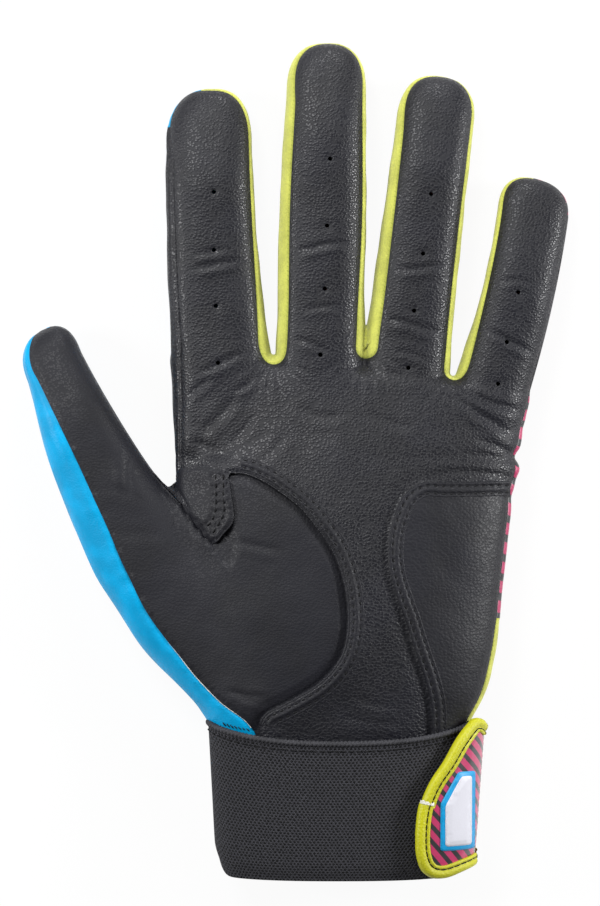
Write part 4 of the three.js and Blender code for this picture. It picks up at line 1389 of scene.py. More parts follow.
def wall_piece(name):
    points, normals, along = dressed_walls()
    run = wall_grid()[2]
    columns = np.flatnonzero(rim()[2] == WALL_ORDER.index(name))
    columns = np.arange(columns[0], min(columns[-1] + 1, points.shape[1] - 1) + 1)
    shape = (len(points), len(columns))
    uv = np.stack([np.broadcast_to(along[columns], shape), run[:, columns]], axis=-1)
    kind, digit = WALLS[name]
    piece = add_piece(f"{name}_wall", points[:, columns].reshape(-1, 3), tube_faces(*shape, closed=False),
                      finish(kind), normals[:, columns].reshape(-1, 3), uv.reshape(-1, 2))
    sew_on(piece, () if name in SMOOTH_WALLS + BACK_WALLS else (name,), digit)


# Where the blue's cut edge is rubbed bare, along the hand.
WORN_TOP, WORN_LOW = -50.0, -76.8


def worn_edge():
    """The pale cut edge of the blue, rubbed bare along its lower seam."""
    seam = THUMB_SEAM[(THUMB_SEAM[:, 1] < WORN_TOP) & (THUMB_SEAM[:, 1] > WORN_LOW)]
    line = resample(shifted(seam, 0.1), 0.5)
    side, size = sideways(line), (0.1 + 0.08 * slack(line, 1.6, 3.3)) * ease((WORN_TOP - line[:, 1]) / 9)
    middle = skin_height(line) - 0.3
    rings = [np.column_stack([line + side * (size * math.cos(turn))[:, None], middle + size * math.sin(turn)])
             for turn in np.linspace(0, 2 * np.pi, 8, endpoint=False)]
    faces = flipped(tube_faces(8, len(line)))
    piece = add_piece("thumb_seam_worn_edge", np.array(rings).reshape(-1, 3), faces, finish("raw_edge"))
    sew_on(piece)


def build_walls():
    for name in WALLS:
        wall_piece(name)
    worn_edge()


# Back panels.

KNUCKLE_Y = 4.0
# Panels of the back: finish, and the digit they bend with.
BACK_PANELS = {
    "index_back": ("blue_synthetic", "index"),
    "middle_back": ("magenta_print", "middle"),
    "ring_back": ("magenta_print", "ring"),
    "little_back": ("magenta_print", "little"),
    "thumb_back": ("blue_synthetic", "thumb"),
    "thumb_back_base": ("blue_synthetic", None),
    "knuckle_stretch_panel": ("black_stretch", None),
    "hand_back": ("magenta_print", None),
}
THUMB_BACK_EDGE = spline([(-40.0, -3.0), (-36.4, -7.6), (-31.0, -12.0), (-24.0, -21.0), (-16.5, -38.0),
                          (-12.0, -54.0), (-10.0, -70.0), (-10.0, -90.0)])
THUMB_BACK_AREA = np.vstack([THUMB_BACK_EDGE, [(-120, -90), (-120, 70), (-52, 70)]])
# The slit in the back of the wrist, in plan.
SLIT_LEFT, SLIT_RIGHT = -5.0, 1.0
BACK_SLIT = [(SLIT_LEFT, WRIST_Y), (-4.6, -66.0), (-2.0, -64.0), (0.6, -66.0), (SLIT_RIGHT, WRIST_Y)]


def turning(p, q, r):
    """Above zero where the way from p over q to r turns left."""
    return (q[..., 0] - p[..., 0]) * (r[..., 1] - p[..., 1]) - (q[..., 1] - p[..., 1]) * (r[..., 0] - p[..., 0])


def untangled(line):
    """A line of points without the small loops where it crosses itself."""
    kept, k = [], 0
    while k < len(line) - 1:
        kept.append(k)
        a, b = line[k, :2], line[k + 1, :2]
        d = line[k + 3 : k + 61, :2]
        c = line[k + 2 : k + 60, :2][: len(d)]
        cross = (turning(a, b, c) * turning(a, b, d) < 0) & (turning(c, d, a) * turning(c, d, b) < 0)
        k = k + 3 + int(np.flatnonzero(cross)[-1]) if cross.any() else k + 1
    return line[kept + [len(line) - 1]]


def back_rows():
    """Rows of stitches on the back: beside the stretch panel and beside the thumb back."""
    rows = [resample([(-27.0, KNUCKLE_Y - offset), (57.0, KNUCKLE_Y - offset)], 0.5) for offset in (2.0, 4.1)]
    thumb = resample(shifted(THUMB_BACK_EDGE, 2.0), 0.5)
    return [*rows, thumb[(thumb[:, 1] < -14) & (thumb[:, 1] > -80)]]


def flex_folds(plan):
    """Three shallow sewn folds over the middle joint of each finger."""
    rise = np.zeros(len(plan))
    for name in FINGERS:
        digit = DIGITS[name]
        s, v = digit.local(plan[:, 0], plan[:, 1])
        across = ease((digit.half_width(s) - 2.5 - np.abs(v)) / 3)
        for place in (0.52, 0.57, 0.62):
            rise += 0.5 * across * hump(s - place * digit.length, 0.7)
    return rise


def back_sheet():
    """The whole back inside the walls, as points, triangles and normals."""
    low = dressed_walls()[0][-1]
    apart = np.linalg.norm(np.diff(low[:, :2], axis=0), axis=1) > 0.12
    low = untangled(low[np.concatenate([[True], apart])])
    wrist = resample([low[-1, :2], *BACK_SLIT, low[0, :2]], 1.2)
    loop = np.vstack([low[:, :2], wrist[1:-1]])
    folds = [within(bend_line(name), loop) for name in FINGERS]
    folds.append(within(within(bend_line("thumb"), THUMB_BACK_AREA), loop))
    knuckles = [(-40, KNUCKLE_Y), (72, KNUCKLE_Y)]
    seams = [within(resample(line, 0.8), loop) for line in (knuckles, THUMB_BACK_EDGE)]
    plan, faces = fill_plan(loop, 1.0, folds + seams, (), around(back_rows()))
    z = skin_height(plan, upper=False)
    for k in np.flatnonzero(near(plan, np.vstack([loop, loop[:1]]), 0.05)[0] < 0.02):
        away = np.linalg.norm(low[:, :2] - plan[k], axis=1)
        if away.min() < 0.02:
            z[k] = low[np.argmin(away), 2]
    for seam in seams:
        z += 0.6 * hump(near(plan, seam, 4)[0], 0.8)
    for row in back_rows():
        d, along = near(plan, row, 3)
        z += hump(d, 0.5) * (0.1 + 0.2 * stitch_pull(along))
    points, faces = np.column_stack([plan, z + flex_folds(plan)]), faces[:, ::-1]
    return points, faces, vertex_normals(points, faces)


def build_back():
    points, faces, normals = back_sheet()
    fingers, free = finger_faces(points, faces)
    groups = {f"{name}_back": chosen for name, chosen in fingers.items()}
    centre = points[faces].mean(axis=1)
    thumb_side = inside(centre[:, :2], THUMB_BACK_AREA) & free
    groups["thumb_back"] = digit_faces(points, faces, "thumb") & thumb_side
    groups["thumb_back_base"] = thumb_side & ~groups["thumb_back"]
    above = centre[:, 1] > KNUCKLE_Y
    groups["knuckle_stretch_panel"] = above & free & ~thumb_side
    groups["hand_back"] = ~above & free & ~thumb_side
    for name, (kind, digit) in BACK_PANELS.items():
        part, fresh, used = part_of(points, faces, groups[name])
        sew_on(add_piece(f"{name}_panel", part, fresh, finish(kind), normals[used]), (name,), digit)


# Thread.

# Rings of a stitch: place along it, and width beside its thickest.
STITCH_RINGS = ((-0.5, 0.35), (-0.42, 0.8), (-0.15, 1.0), (0.15, 1.0), (0.42, 0.8), (0.5, 0.35))
STITCH_SIDES = 6
STITCH_RISE = 0.9


def stitches(name, rear, front, radius, body="hand"):
    """Rounded bars between pairs of points, as one mesh."""
    points, faces = [], []
    sides, last = STITCH_SIDES, (len(STITCH_RINGS) - 1) * STITCH_SIDES
    for a, b in zip(rear, front):
        length = np.linalg.norm(b - a)
        if length < 1e-6:
            continue
        way = (b - a) / length
        side = unit(np.cross(way, (0, 0, 1.0)))
        up = np.cross(side, way)
        first = len(points)
        for t, wide in STITCH_RINGS:
            lift = radius * STITCH_RISE * (1 - (2 * t) ** 2)
            at = (a + b) / 2 + way * t * length
            for k in range(sides):
                turn = 2 * math.pi * k / sides
                high = lift + radius * wide * math.sin(turn)
                points.append(at + up * high + side * radius * wide * math.cos(turn))
        for j in range(first, first + last, sides):
            for k in range(sides):
                n = (k + 1) % sides
                faces.append((j + k, j + n, j + sides + n, j + sides + k))
        faces.append(tuple(first + k for k in reversed(range(sides))))
        faces.append(tuple(first + last + k for k in range(sides)))
    sew_on(add_piece(name, np.array(points), faces, finish("black_thread")), body=body)


def stitch_ends(line, first, pitch, length):
    """The ends of stitches along a line, the first and the last at least first from its ends."""
    line = resample(line, 0.25)
    run = lengths(line)
    places = np.arange(first, run[-1] - first, pitch)
    return points_at(line, run, places - length / 2), points_at(line, run, places + length / 2)


def thread_row(name, line, heights, lift, pitch, length, radius, slant=0.0):
    """A row of stitches along a line in plan, each a rounded bar lying on the given heights."""
    rear, front = stitch_ends(line, pitch / 2, pitch, length)
    if slant:
        side = (front - rear) @ np.array([[0, -1], [1, 0]]) / length
        front, rear = front + side * slant / 2, rear - side * slant / 2
    stitches(name, *(np.column_stack([end, heights(end) + lift]) for end in (rear, front)), radius)


def back_height(plan):
    return skin_height(plan, upper=False)


THUMB_HEM = spline([(-21.0, -75.3), (-17.4, -76.2), (-12.8, -77.0)], 0.5)


def build_thread():
    sizes = bpy.context.scene.glove_sizes
    size = stitch_pitch(), sizes.stitch_length / MM, sizes.thread / MM / 2
    for name, rows, heights, lift in (
        ("ball_seam", sewn_rows(BALL_LAP, BALL_ROWS), palm_height, -0.3),
        ("heel_patch", sewn_rows(HEEL_LAP, HEEL_ROWS), heel_height, -0.3),
        ("crotch_patch", PATCH_ROWS, patch_height, 1.15),
        ("back", back_rows(), back_height, 0.16),
    ):
        for k, row in enumerate(rows):
            thread_row(f"{name}_thread_{k + 1}", row, heights, lift, *size)
    thread_row("thumb_hem_thread", THUMB_HEM, skin_height, -0.12, 1.15, 1.2, 0.17, slant=0.8)


# Cuff and strap.

# Rows of the cuff: place along the hand, left, right, underside, upper side.
CUFF_ROWS = np.array([(-120, -22.6, 46.4, 3.4, 29.6), (-112, -23.2, 47.4, 3.4, 30.4),
                      (-94, -24.2, 48.8, 3.4, 31.0), (-75.6, -25.2, 50.2, 3.4, 31.4)])
CUFF_POWER = 2.4
CUFF_WEB = 1.8
CUFF_HEIGHT = 43.0
# Where the run round the cuff is measured.
CUFF_MIDDLE = -98.0
# Places up the cuff's face, closer at its hem and its upper edge.
CUFF_SHARES = np.concatenate([[0.0, 0.006, 0.018, 0.032, 0.045, 0.06], np.linspace(0.08, 0.96, 40),
                              [0.975, 0.988, 1.0]])


def cuff_point(turn, y, out=0.0):
    """A point of the cuff's outer face at a turn from the little-finger side, moved outwards."""
    y_in = np.clip(y, -122, -72)
    left, right, low, high = (through(CUFF_ROWS[:, 0], CUFF_ROWS[:, k], y_in)
                              for k in (LEFT, RIGHT, UNDER, OVER))
    wide, deep = (right - left) / 2, (high - low) / 2
    c, s = np.cos(turn), np.sin(turn)
    power = 2 / CUFF_POWER
    x = (left + right) / 2 + wide * np.sign(c) * np.abs(c) ** power
    z = (low + high) / 2 + deep * np.sign(s) * np.abs(s) ** power
    nx = np.sign(c) * np.abs(c) ** (2 - power) / wide
    nz = np.sign(s) * np.abs(s) ** (2 - power) / deep
    size = np.maximum(np.hypot(nx, nz), 1e-9)
    return np.stack([x + out * nx / size, y + 0 * x, z + out * nz / size], axis=-1)


@lru_cache(maxsize=1)
def cuff_turns():
    """Turns round the cuff, the run of each over its outer face from the middle of the back, and its x."""
    turns = np.linspace(-np.pi / 2 - 0.9, np.pi * 1.5, 2401)
    ring = cuff_point(turns, np.full(len(turns), CUFF_MIDDLE))
    run = lengths(ring)
    return turns, run - np.interp(-np.pi / 2, turns, run), ring[:, 0]


def turn_at(runs):
    turns, run, _ = cuff_turns()
    return np.interp(runs, run, turns)


def run_at(some_turns):
    turns, run, _ = cuff_turns()
    return np.interp(some_turns, turns, run)


def cuff_span():
    """The runs round the cuff at the two sides of its back slit."""
    turns, run, x = cuff_turns()
    return run[np.argmax(x > SLIT_RIGHT)], run[np.flatnonzero((x < SLIT_LEFT) & (turns > np.pi))[-1]]


def cuff_top(turns):
    """Where the cuff's upper edge lies along the hand: it dips across the front."""
    return -75.4 - 5.3 * np.clip(np.sin(turns), 0, 1) ** 1.5


def cuff_bottom(turns):
    """Where the cuff's hem lies: it hangs lower across the front and curves up at the sides."""
    corner = np.clip((np.abs(np.cos(turns)) - 0.75) / 0.25, 0, 1) ** 6
    return -118.8 - 0.9 * np.clip(np.sin(turns), 0, 1) + 5.0 * corner


def cuff_knit():
    """The cuff's face, drawn in at the hem, and its lining."""
    runs = np.linspace(*cuff_span(), 300)
    turns = turn_at(runs)
    top, bottom = cuff_top(turns), cuff_bottom(turns)
    shares = np.concatenate([CUFF_SHARES, CUFF_SHARES[::-1]])
    outs = np.where(np.arange(len(shares)) < len(CUFF_SHARES), -0.9 * (1 - ease(shares / 0.14)) ** 2, -CUFF_WEB)
    rows = np.array([cuff_point(turns, bottom + (top - bottom) * share, out)
                     for share, out in zip(shares, outs)])
    count, wide = rows.shape[:2]
    faces = flipped(tube_faces(count, wide))
    for column, way in ((0, 1), (wide - 1, -1)):
        for j in range(count // 2 - 1):
            faces.append([k * wide + column for k in (j, j + 1, count - 2 - j, count - 1 - j)][::way])
    uv = np.stack(np.meshgrid(runs, shares * CUFF_HEIGHT), axis=-1)
    piece = add_piece("cuff_knit", rows.reshape(-1, 3), faces, finish("black_elastic"), uv=uv.reshape(-1, 2))
    sew_on(piece, ("cuff_elastic",))


def cuff_roll():
    """The rolled upper edge of the cuff, overcast with slanting yarn."""
    runs = np.arange(*cuff_span(), 0.17)
    turns = turn_at(runs)
    rows = []
    for angle in np.linspace(0, 2 * np.pi, 12, endpoint=False):
        rib = 1 + 0.16 * np.cos(2 * np.pi * runs / 1.1 + 2 * angle)
        y = cuff_top(turns) + 0.1 + 0.85 * np.sin(angle) * rib
        rows.append(cuff_point(turns, y, -0.35 + 1.0 * np.cos(angle) * rib))
    faces = flipped(tube_faces(len(rows), len(runs)))
    piece = add_piece("cuff_rolled_edge", np.array(rows).reshape(-1, 3), faces, finish("rolled_elastic"))
    sew_on(piece)


def cuff_edge_thread():
    """The line of stitches under the cuff's rolled edge."""
    first, last = cuff_span()
    start = np.arange(first + 2, last - 3, 2.0)
    ends = [cuff_point(turns, cuff_top(turns) - 2.0, 0.02) for turns in (turn_at(start), turn_at(start + 1.3))]
    stitches("cuff_edge_thread", *ends, bpy.context.scene.glove_sizes.thread / MM / 2)


def build_cuff():
    cuff_knit()
    cuff_roll()
    cuff_edge_thread()


# The tab's outer edge in plan, from the fold over the top and down to the fold again.
TAB_EDGE = spline([(53.1, -75.4), (52.2, -73.9), (50.6, -73.6), (48.4, -75.4), (45.8, -78.6), (41.6, -85.6),
                   (37.9, -91.0), (36.0, -95.0), (34.9, -98.6), (34.3, -103.0), (34.1, -107.5), (34.5, -112.6),
                   (36.0, -116.4), (38.6, -118.2), (41.4, -118.4), (46.6, -116.9), (51.6, -115.2)], 0.5)
TAPE_JOINT_Y = -96.4
# The plain plate on the tab, in plan: left, right, low, high, and the corner cut off along the tab's slant.
PLATE = (42.2, 49.8, -109.6, -89.8)
PLATE_CUT = (4.6, 8.2)
# Run over the cuff at which the strap is sewn down, behind the back slit.
STRAP_ROOT = -71.0
# Corners of the strap's layers, as run over the cuff from the fold and place along the hand.
HOOK_CORNERS = [(9, -113), (9, -100), (14, -92), (4, -82), (1.5, -82), (1.5, -113)]
LOOP_CORNERS = [(2, -113), (2, -82), (8, -82), (17, -95), (18, -112)]
BASE_CORNERS = [(STRAP_ROOT, -116.4), (STRAP_ROOT, -77), (0, -77), (0, -116.4)]
# Section of the binding tape: how far in from the edge, how high over the cuff.
TAPE_SECTION = ((3.75, 3.9), (3.7, 4.5), (3.35, 4.75), (2.95, 4.68), (2.62, 4.36), (2.3, 4.7), (1.7, 5.0),
                (1.05, 5.05), (0.45, 4.75), (0.1, 4.1), (0.0, 3.4), (0.12, 2.7), (0.6, 2.2), (3.75, 2.2))
# The tape's groove: how far in from the edge, how high; its stitches, and how much its lapping end swells.
GROOVE_IN, GROOVE_HEIGHT = 2.62, 4.5
TAPE_PITCH, TAPE_STITCH, TAPE_THREAD = 1.9, 1.76, 0.17
LAP_SWELL = 0.45
# How far each jag of the torn tape end reaches.
JAGS = np.array([0.25, 0.7, 0.35, 0.6, 0.3, 0.75, 0.4, 0.8, 0.45, 0.6])[:, None]


def front_turn(x, y, out):
    """The turn on the cuff's upper right quarter at which its outward-moved face reaches x."""
    def past(turn):
        return ~(cuff_point(turn, y, out)[..., 0] > x)

    low, high = halve(np.zeros_like(x), np.full_like(x, np.pi / 2), past, 40)
    return (low + high) / 2


def on_tab(plan, out):
    """Plan points on the front of the cuff as run over it from the fold, and place along the hand."""
    run = run_at(front_turn(plan[:, 0], plan[:, 1], out)) - run_at(0.0)
    return np.stack([run, plan[:, 1]], axis=1)


def on_cuff(places, out):
    """Points over the cuff's outer face at places given as on_tab gives them."""
    return cuff_point(turn_at(places[:, 0] + run_at(0.0)), places[:, 1], out)


def slab(name, loop, low, high, kind, nodes, body="strap_tab", step=1.0, crown=0.0):
    """A flat layer on the cuff between two heights over its face, with rounded upper edges."""
    plan, faces = fill_plan(loop, step)
    d, _ = near(plan, np.vstack([loop, loop[:1]]), 4)
    upper = on_cuff(plan, high + crown * ease(d / 4) - 0.25 * hump(d, 0.4))
    lower = on_cuff(plan, low)
    n = len(plan)
    quads = faces.tolist() + (faces[:, ::-1] + n).tolist()
    quads += [[b, a, a + n, b + n] for a, b in edge_loops(faces)]
    piece = add_piece(name, np.vstack([upper, lower]), quads, finish(kind), uv=np.vstack([plan, plan]))
    sew_on(piece, nodes, body=body)


def closed_loop(corners):
    return resample([*corners, corners[0]], 1.0)[:-1]


def tape_rows(line, swell):
    """Rings of points of a folded tape along an edge, given as run and place on the cuff."""
    rows = []
    for inward, high in TAPE_SECTION:
        path = shifted(line, inward - swell)
        path = soften(path, 10) if inward > 2 else path
        rows.append(on_cuff(path, high + (swell * 0.5 if high > 3 else 0)))
    rows = np.array(rows)
    rows[..., 2] = np.maximum(rows[..., 2], FLOOR_GAP)
    return rows


def tape(name, runs, nodes, body):
    """Lime tape folded over an edge of the strap; each run is a line and how much it swells outwards."""
    points, faces, sides = [], [], len(TAPE_SECTION)
    for line, swell in runs:
        count, first = len(line), sum(map(len, points))
        faces += [tuple(first + k for k in reversed(quad)) for quad in tube_faces(sides, count)]
        starts = [first + k * count for k in range(sides)]
        faces += [starts[::-1], [start + count - 1 for start in starts]]
        points.append(tape_rows(line, swell).reshape(-1, 3))
    sew_on(add_piece(name, np.vstack(points), faces, finish("lime_binding")), nodes, body=body)


def tape_thread(name, edge, body, swell=0.0):
    """The line of long stitches in the groove of a binding tape."""
    groove = soften(shifted(edge, GROOVE_IN - swell), 10)
    ends = stitch_ends(groove, 1.0, TAPE_PITCH, TAPE_STITCH)
    ends = [on_cuff(end, GROOVE_HEIGHT + swell / 2) for end in ends]
    for end in ends:
        end[:, 2] = np.maximum(end[:, 2], 0.2)
    stitches(name, *ends, TAPE_THREAD, body)


def frayed_end(line, swell):
    """The pale torn end where the tape laps over itself."""
    start = tape_rows(line, swell)[1:11, :4]
    ring, ahead = start[:, 0], unit(start[:, 0] - start[:, 3])
    lift = np.array([0.0, 0.0, 0.16])
    rows = [ring - ahead * 0.35 + lift, ring + ahead * JAGS * 0.5 + lift * 0.7, ring + ahead * JAGS - lift * 2]
    faces = tube_faces(3, len(ring), closed=False)
    piece = add_piece("tape_frayed_end", np.array(rows).reshape(-1, 3), faces, finish("raw_edge"))
    sew_on(piece, body="strap_tab")


def plate_outline(grow, corner):
    """The plate's outline in plan, grown by a margin, with its corners rounded."""
    left, right, low, high = PLATE[0] - grow, PLATE[1] + grow, PLATE[2] - grow, PLATE[3] + grow
    corners = np.array([(right, low), (right, high), (left + PLATE_CUT[0] + 0.45 * grow, high),
                        (left, high - PLATE_CUT[1] - 0.5 * grow), (left, low)])
    points = []
    for before, at, after in zip(np.roll(corners, 1, axis=0), corners, np.roll(corners, -1, axis=0)):
        a, b = at + unit(before - at) * corner, at + unit(after - at) * corner
        s = np.linspace(0, 1, 6)[:, None]
        points.extend((1 - s) ** 2 * a + 2 * s * (1 - s) * at + s**2 * b)
    return resample(np.vstack([points, points[:1]]), 0.6)[:-1]


def tab():
    """The printed tab with its hook pile, binding tape and label."""
    edge = on_tab(TAB_EDGE, 3.0)
    edge = resample(edge[edge[:, 0] > 0.05], 0.5)
    face = shifted(edge, 1.5)
    face = face[face[:, 0] > 0.3]
    fold = resample([face[-1], (0.3, face[-1][1]), (0.3, face[0][1]), face[0]], 1.0)[1:-1]
    slab("tab_print", np.vstack([face, fold]), 2.1, 4.15, "strap_print", ("tab_face", "tab_backing"),
         crown=0.15)
    slab("hook_pile", closed_loop(HOOK_CORNERS), 1.2, 1.9, "black_pile", ("hook_patch",))
    joint = int(np.argmax(edge[:, 1] < TAPE_JOINT_Y))
    upper, lower = edge[: joint + 3], edge[joint:]
    tape("tab_binding_tape", [(upper, 0.0), (lower, LAP_SWELL)], ("tab_binding",), "strap_tab")
    frayed_end(lower, LAP_SWELL)
    tape_thread("tab_upper_thread", upper, "strap_tab")
    tape_thread("tab_lower_thread", lower, "strap_tab", LAP_SWELL)
    for name, node, grow, corner, low, high, kind in (
        ("label_frame_edge", "label_frame", 1.25, 0.7, 4.0, 4.85, "blue_label"),
        ("label_plate_face", "label_plate", 0.0, 0.8, 4.4, 5.15, "grey_label"),
    ):
        slab(name, on_tab(plate_outline(grow, corner), 4.5)[::-1], low, high, kind, (node,), step=0.7)


def strap_base():
    """The printed strap round the back of the cuff with its tapes, and the loop pile under the tab."""
    slab("strap_base_print", closed_loop(BASE_CORNERS), 1.2, 3.05, "strap_print", ("strap_base",), "hand")
    slab("loop_pile", closed_loop(LOOP_CORNERS), 0.2, 0.9, "black_pile", ("loop_patch",), "hand")
    for name, y, ends in (("top", -75.4, (STRAP_ROOT, 0.0)), ("bottom", -115.4, (0.0, STRAP_ROOT))):
        run = resample([(u, y) for u in ends], 0.8)
        tape(f"strap_{name}_binding_tape", [(run, 0.0)], (), "hand")
        tape_thread(f"strap_{name}_binding_thread", run, "hand")
    for k, u in enumerate((STRAP_ROOT + 1.6, STRAP_ROOT + 11.0)):
        y = np.arange(-112.5, -80.0, stitch_pitch())
        ends = [on_cuff(np.column_stack([np.full(len(y), u), y + step]), 3.1) for step in (0.0, 1.6)]
        stitches(f"strap_root_thread_{k + 1}", *ends, 0.2)


def build_strap():
    tab()
    strap_base()


# Stage, in metres.

FLOOR_HALF = 3.0
PAPER_WHITE = (0.92, 0.92, 0.92, 1)
PURE_WHITE = (1, 1, 1, 1)
# How much of the floor that the camera sees is plain white; the sky's strength as light, and its gain as seen.
FLOOR_GLOW, SKY_LIGHT, SKY_SEEN = 0.93, 0.18, 0.82
# Lamps: place, width, power in watts.
LAMPS = {
    "top_left": ((-0.3, 0.55, 0.85), 0.3, 5.7),
    "right": ((0.8, 0.15, 0.38), 0.25, 7.0),
    "left": ((-0.8, 0.1, 0.45), 0.25, 5.2),
    "top": ((0.1, 0.95, 0.45), 0.25, 4.2),
}
LAMP_AIM = Vector((0, 0, 0.015))
# The camera hangs straight over the glove: its place in plan, height over a plane, and width seen there.
CAMERA_PLAN, CAMERA_PLANE, CAMERA_HEIGHT = (0.00115, 0.00187), 0.017, 0.95
SEEN_WIDTH, SENSOR = 0.1724, 36.0


def seen_by_camera(tree):
    return tree.nodes.new("ShaderNodeLightPath").outputs["Is Camera Ray"]


def build_floor():
    mesh = bpy.data.meshes.new("floor")
    corners = [(x * FLOOR_HALF, y * FLOOR_HALF, 0) for x, y in ((-1, -1), (1, -1), (1, 1), (-1, 1))]
    mesh.from_pydata(corners, [], [(0, 1, 2, 3)])
    made = bpy.data.materials.new("studio_floor")
    made.use_nodes = True
    tree = made.node_tree
    tree.nodes.clear()
    paper = put(tree, "ShaderNodeBsdfDiffuse", {"Color": PAPER_WHITE})
    glow = put(tree, "ShaderNodeEmission", {"Color": PURE_WHITE, "Strength": 1.0})
    share = times(tree, seen_by_camera(tree), FLOOR_GLOW)
    both = put(tree, "ShaderNodeMixShader", {0: share, 1: paper.outputs[0], 2: glow.outputs[0]})
    put(tree, "ShaderNodeOutputMaterial", {0: both.outputs[0]})
    mesh.materials.append(made)
    floor = stand("floor", mesh)


def build_light():
    world = bpy.data.worlds.new("studio")
    bpy.context.scene.world = world
    world.use_nodes = True
    sky = world.node_tree
    strength = plus(sky, times(sky, seen_by_camera(sky), SKY_SEEN), SKY_LIGHT)
    fill(sky, sky.nodes["Background"], {"Color": PURE_WHITE, "Strength": strength})
    for name, (place, width, power) in LAMPS.items():
        lamp = bpy.data.lights.new(name, "AREA")
        lamp.energy, lamp.size = power, width
        lamp = stand(name, lamp)
        lamp.location = place
        lamp.rotation_euler = (LAMP_AIM - Vector(place)).to_track_quat("-Z", "Y").to_euler()


def build_stage():
    bpy.context.scene.view_settings.view_transform = "Standard"
    build_floor()
    build_light()
    lens = bpy.data.cameras.new("camera")
    lens.sensor_fit, lens.sensor_width = "HORIZONTAL", SENSOR
    lens.lens = CAMERA_HEIGHT * SENSOR / SEEN_WIDTH
    camera = stand("camera", lens)
    camera.location = (*CAMERA_PLAN, CAMERA_PLANE + CAMERA_HEIGHT)
    bpy.context.scene.camera = camera


# Properties, operators and panel.

def length(label, text, metres):
    return bpy.props.FloatProperty(name=label, description=text, default=metres, unit="LENGTH", precision=5)


def tint(label, text, colour):
    return bpy.props.FloatVectorProperty(name=label, description=text, subtype="COLOR", size=3, min=0, max=1,
                                         default=colour)


class GloveSizes(bpy.types.PropertyGroup):
    """Sizes of the sewing, in metres"""

    stitch_pitch: length("Stitch pitch", "From one stitch to the next", 0.0023)
    stitch_length: length("Stitch length", "Thread seen in each stitch", 0.0016)
    thread: length("Thread", "Thickness of the sewing thread", 0.00046)


class GloveColours(bpy.types.PropertyGroup):
    """Colours of the glove's finishes"""

    leather: tint("Leather", "Palm and finger fronts", (0.0046, 0.0048, 0.0084))
    # Paler colour of the pebble tops: wear and a painted glint.
    leather_worn: tint("Worn leather", "High points of the leather grain", (0.05, 0.05, 0.058))
    lime: tint("Lime suede", "Finger side walls and wrist gusset", (0.59, 0.61, 0.105))
    # Colour of the thread marks and of the painted seam shade on the lime suede.
    lime_mark_and_shade: tint("Lime shade", "Thread marks and seam shade on the lime suede", (0.2, 0.24, 0.02))
    blue: tint("Blue", "Thumb and index backs", (0.0, 0.345, 0.67))
    magenta: tint("Magenta", "Stripes of the printed backs", (0.46, 0.027, 0.115))
    ink: tint("Ink", "Ground between the stripes", (0.02, 0.02, 0.023))
    elastic: tint("Elastic", "Knitted cuff and stretch panel", (0.03, 0.03, 0.036))
    raw_edge: tint("Raw edge", "Frayed tape end and cut edge of the blue", (0.75, 0.74, 0.66))
    binding: tint("Binding", "Tape round the strap tab", (0.47, 0.465, 0.005))
    plate: tint("Label plate", "Bare plate on the strap tab", (0.62, 0.62, 0.68))
    frame: tint("Label frame", "Edge round the label plate", (0.0, 0.30, 0.62))
    thread: tint("Thread", "Sewing thread", (0.006, 0.006, 0.007))


class GLOVE_OT_stage(bpy.types.Operator):
    """Floor, studio light and camera"""

    bl_idname = "glove.stage"
    bl_label = "Stage"

    def execute(self, context):
        build_stage()
        return {"FINISHED"}


class GLOVE_OT_palm_leather(bpy.types.Operator):
    """Palm hide with the four finger fronts"""

    bl_idname = "glove.palm_leather"
    bl_label = "Palm leather"

    def execute(self, context):
        build_palm_leather()
        return {"FINISHED"}


class GLOVE_OT_thumb_leather(bpy.types.Operator):
    """Thumb front and ball of the thumb"""

    bl_idname = "glove.thumb_leather"
    bl_label = "Thumb leather"

    def execute(self, context):
        build_thumb_leather()
        return {"FINISHED"}


class GLOVE_OT_patches(bpy.types.Operator):
    """Heel patch and thumb crotch patch"""

    bl_idname = "glove.patches"
    bl_label = "Patches"

    def execute(self, context):
        build_patches()
        return {"FINISHED"}


class GLOVE_OT_walls(bpy.types.Operator):
    """Fourchettes, side strips and edges"""

    bl_idname = "glove.walls"
    bl_label = "Side walls"

    def execute(self, context):
        build_walls()
        return {"FINISHED"}


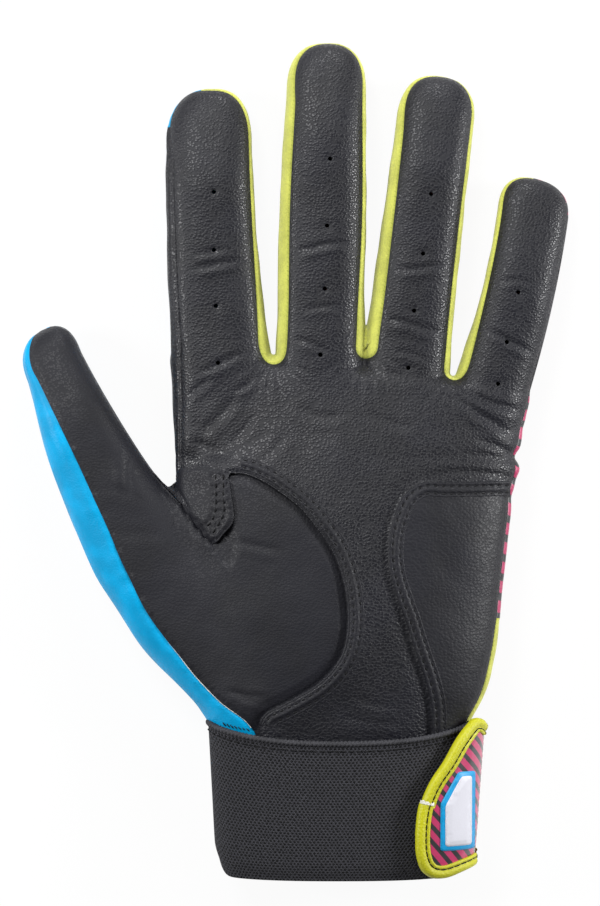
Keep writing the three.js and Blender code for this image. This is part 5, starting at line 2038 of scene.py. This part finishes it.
class GLOVE_OT_back(bpy.types.Operator):
    """Finger backs, knuckle panel and hand back"""

    bl_idname = "glove.back"
    bl_label = "Back panels"

    def execute(self, context):
        build_back()
        return {"FINISHED"}


class GLOVE_OT_thread(bpy.types.Operator):
    """Rows of sewing thread on the leather"""

    bl_idname = "glove.thread"
    bl_label = "Thread"

    def execute(self, context):
        build_thread()
        return {"FINISHED"}


class GLOVE_OT_cuff(bpy.types.Operator):
    """Knitted cuff with its rolled edge"""

    bl_idname = "glove.cuff"
    bl_label = "Cuff"

    def execute(self, context):
        build_cuff()
        return {"FINISHED"}


class GLOVE_OT_strap(bpy.types.Operator):
    """Strap base, tab, binding and label"""

    bl_idname = "glove.strap"
    bl_label = "Strap"

    def execute(self, context):
        build_strap()
        return {"FINISHED"}


OPERATORS = (GLOVE_OT_stage, GLOVE_OT_palm_leather, GLOVE_OT_thumb_leather, GLOVE_OT_patches, GLOVE_OT_walls,
             GLOVE_OT_back, GLOVE_OT_thread, GLOVE_OT_cuff, GLOVE_OT_strap)


class GLOVE_PT_panel(bpy.types.Panel):
    """Lists the sizes, the colours and the steps that sew the glove"""

    bl_label = "Batting Glove"
    bl_idname = "GLOVE_PT_panel"
    bl_space_type = "VIEW_3D"
    bl_region_type = "UI"
    bl_category = "Glove"

    def draw(self, context):
        for group in (context.scene.glove_sizes, context.scene.glove_colours):
            for name in group.__annotations__:
                self.layout.prop(group, name)
        for kind in OPERATORS:
            self.layout.operator(kind.bl_idname)


CLASSES = (GloveSizes, GloveColours, *OPERATORS, GLOVE_PT_panel)


def register():
    for kind in CLASSES:
        bpy.utils.register_class(kind)
    bpy.types.Scene.glove_sizes = bpy.props.PointerProperty(type=GloveSizes)
    bpy.types.Scene.glove_colours = bpy.props.PointerProperty(type=GloveColours)


def unregister():
    del bpy.types.Scene.glove_colours
    del bpy.types.Scene.glove_sizes
    for kind in reversed(CLASSES):
        bpy.utils.unregister_class(kind)


def main():
    register()
    for kind in OPERATORS:
        step = kind.bl_idname.split(".")[1]
        getattr(bpy.ops.glove, step)()


if __name__ == "__main__":
    main()
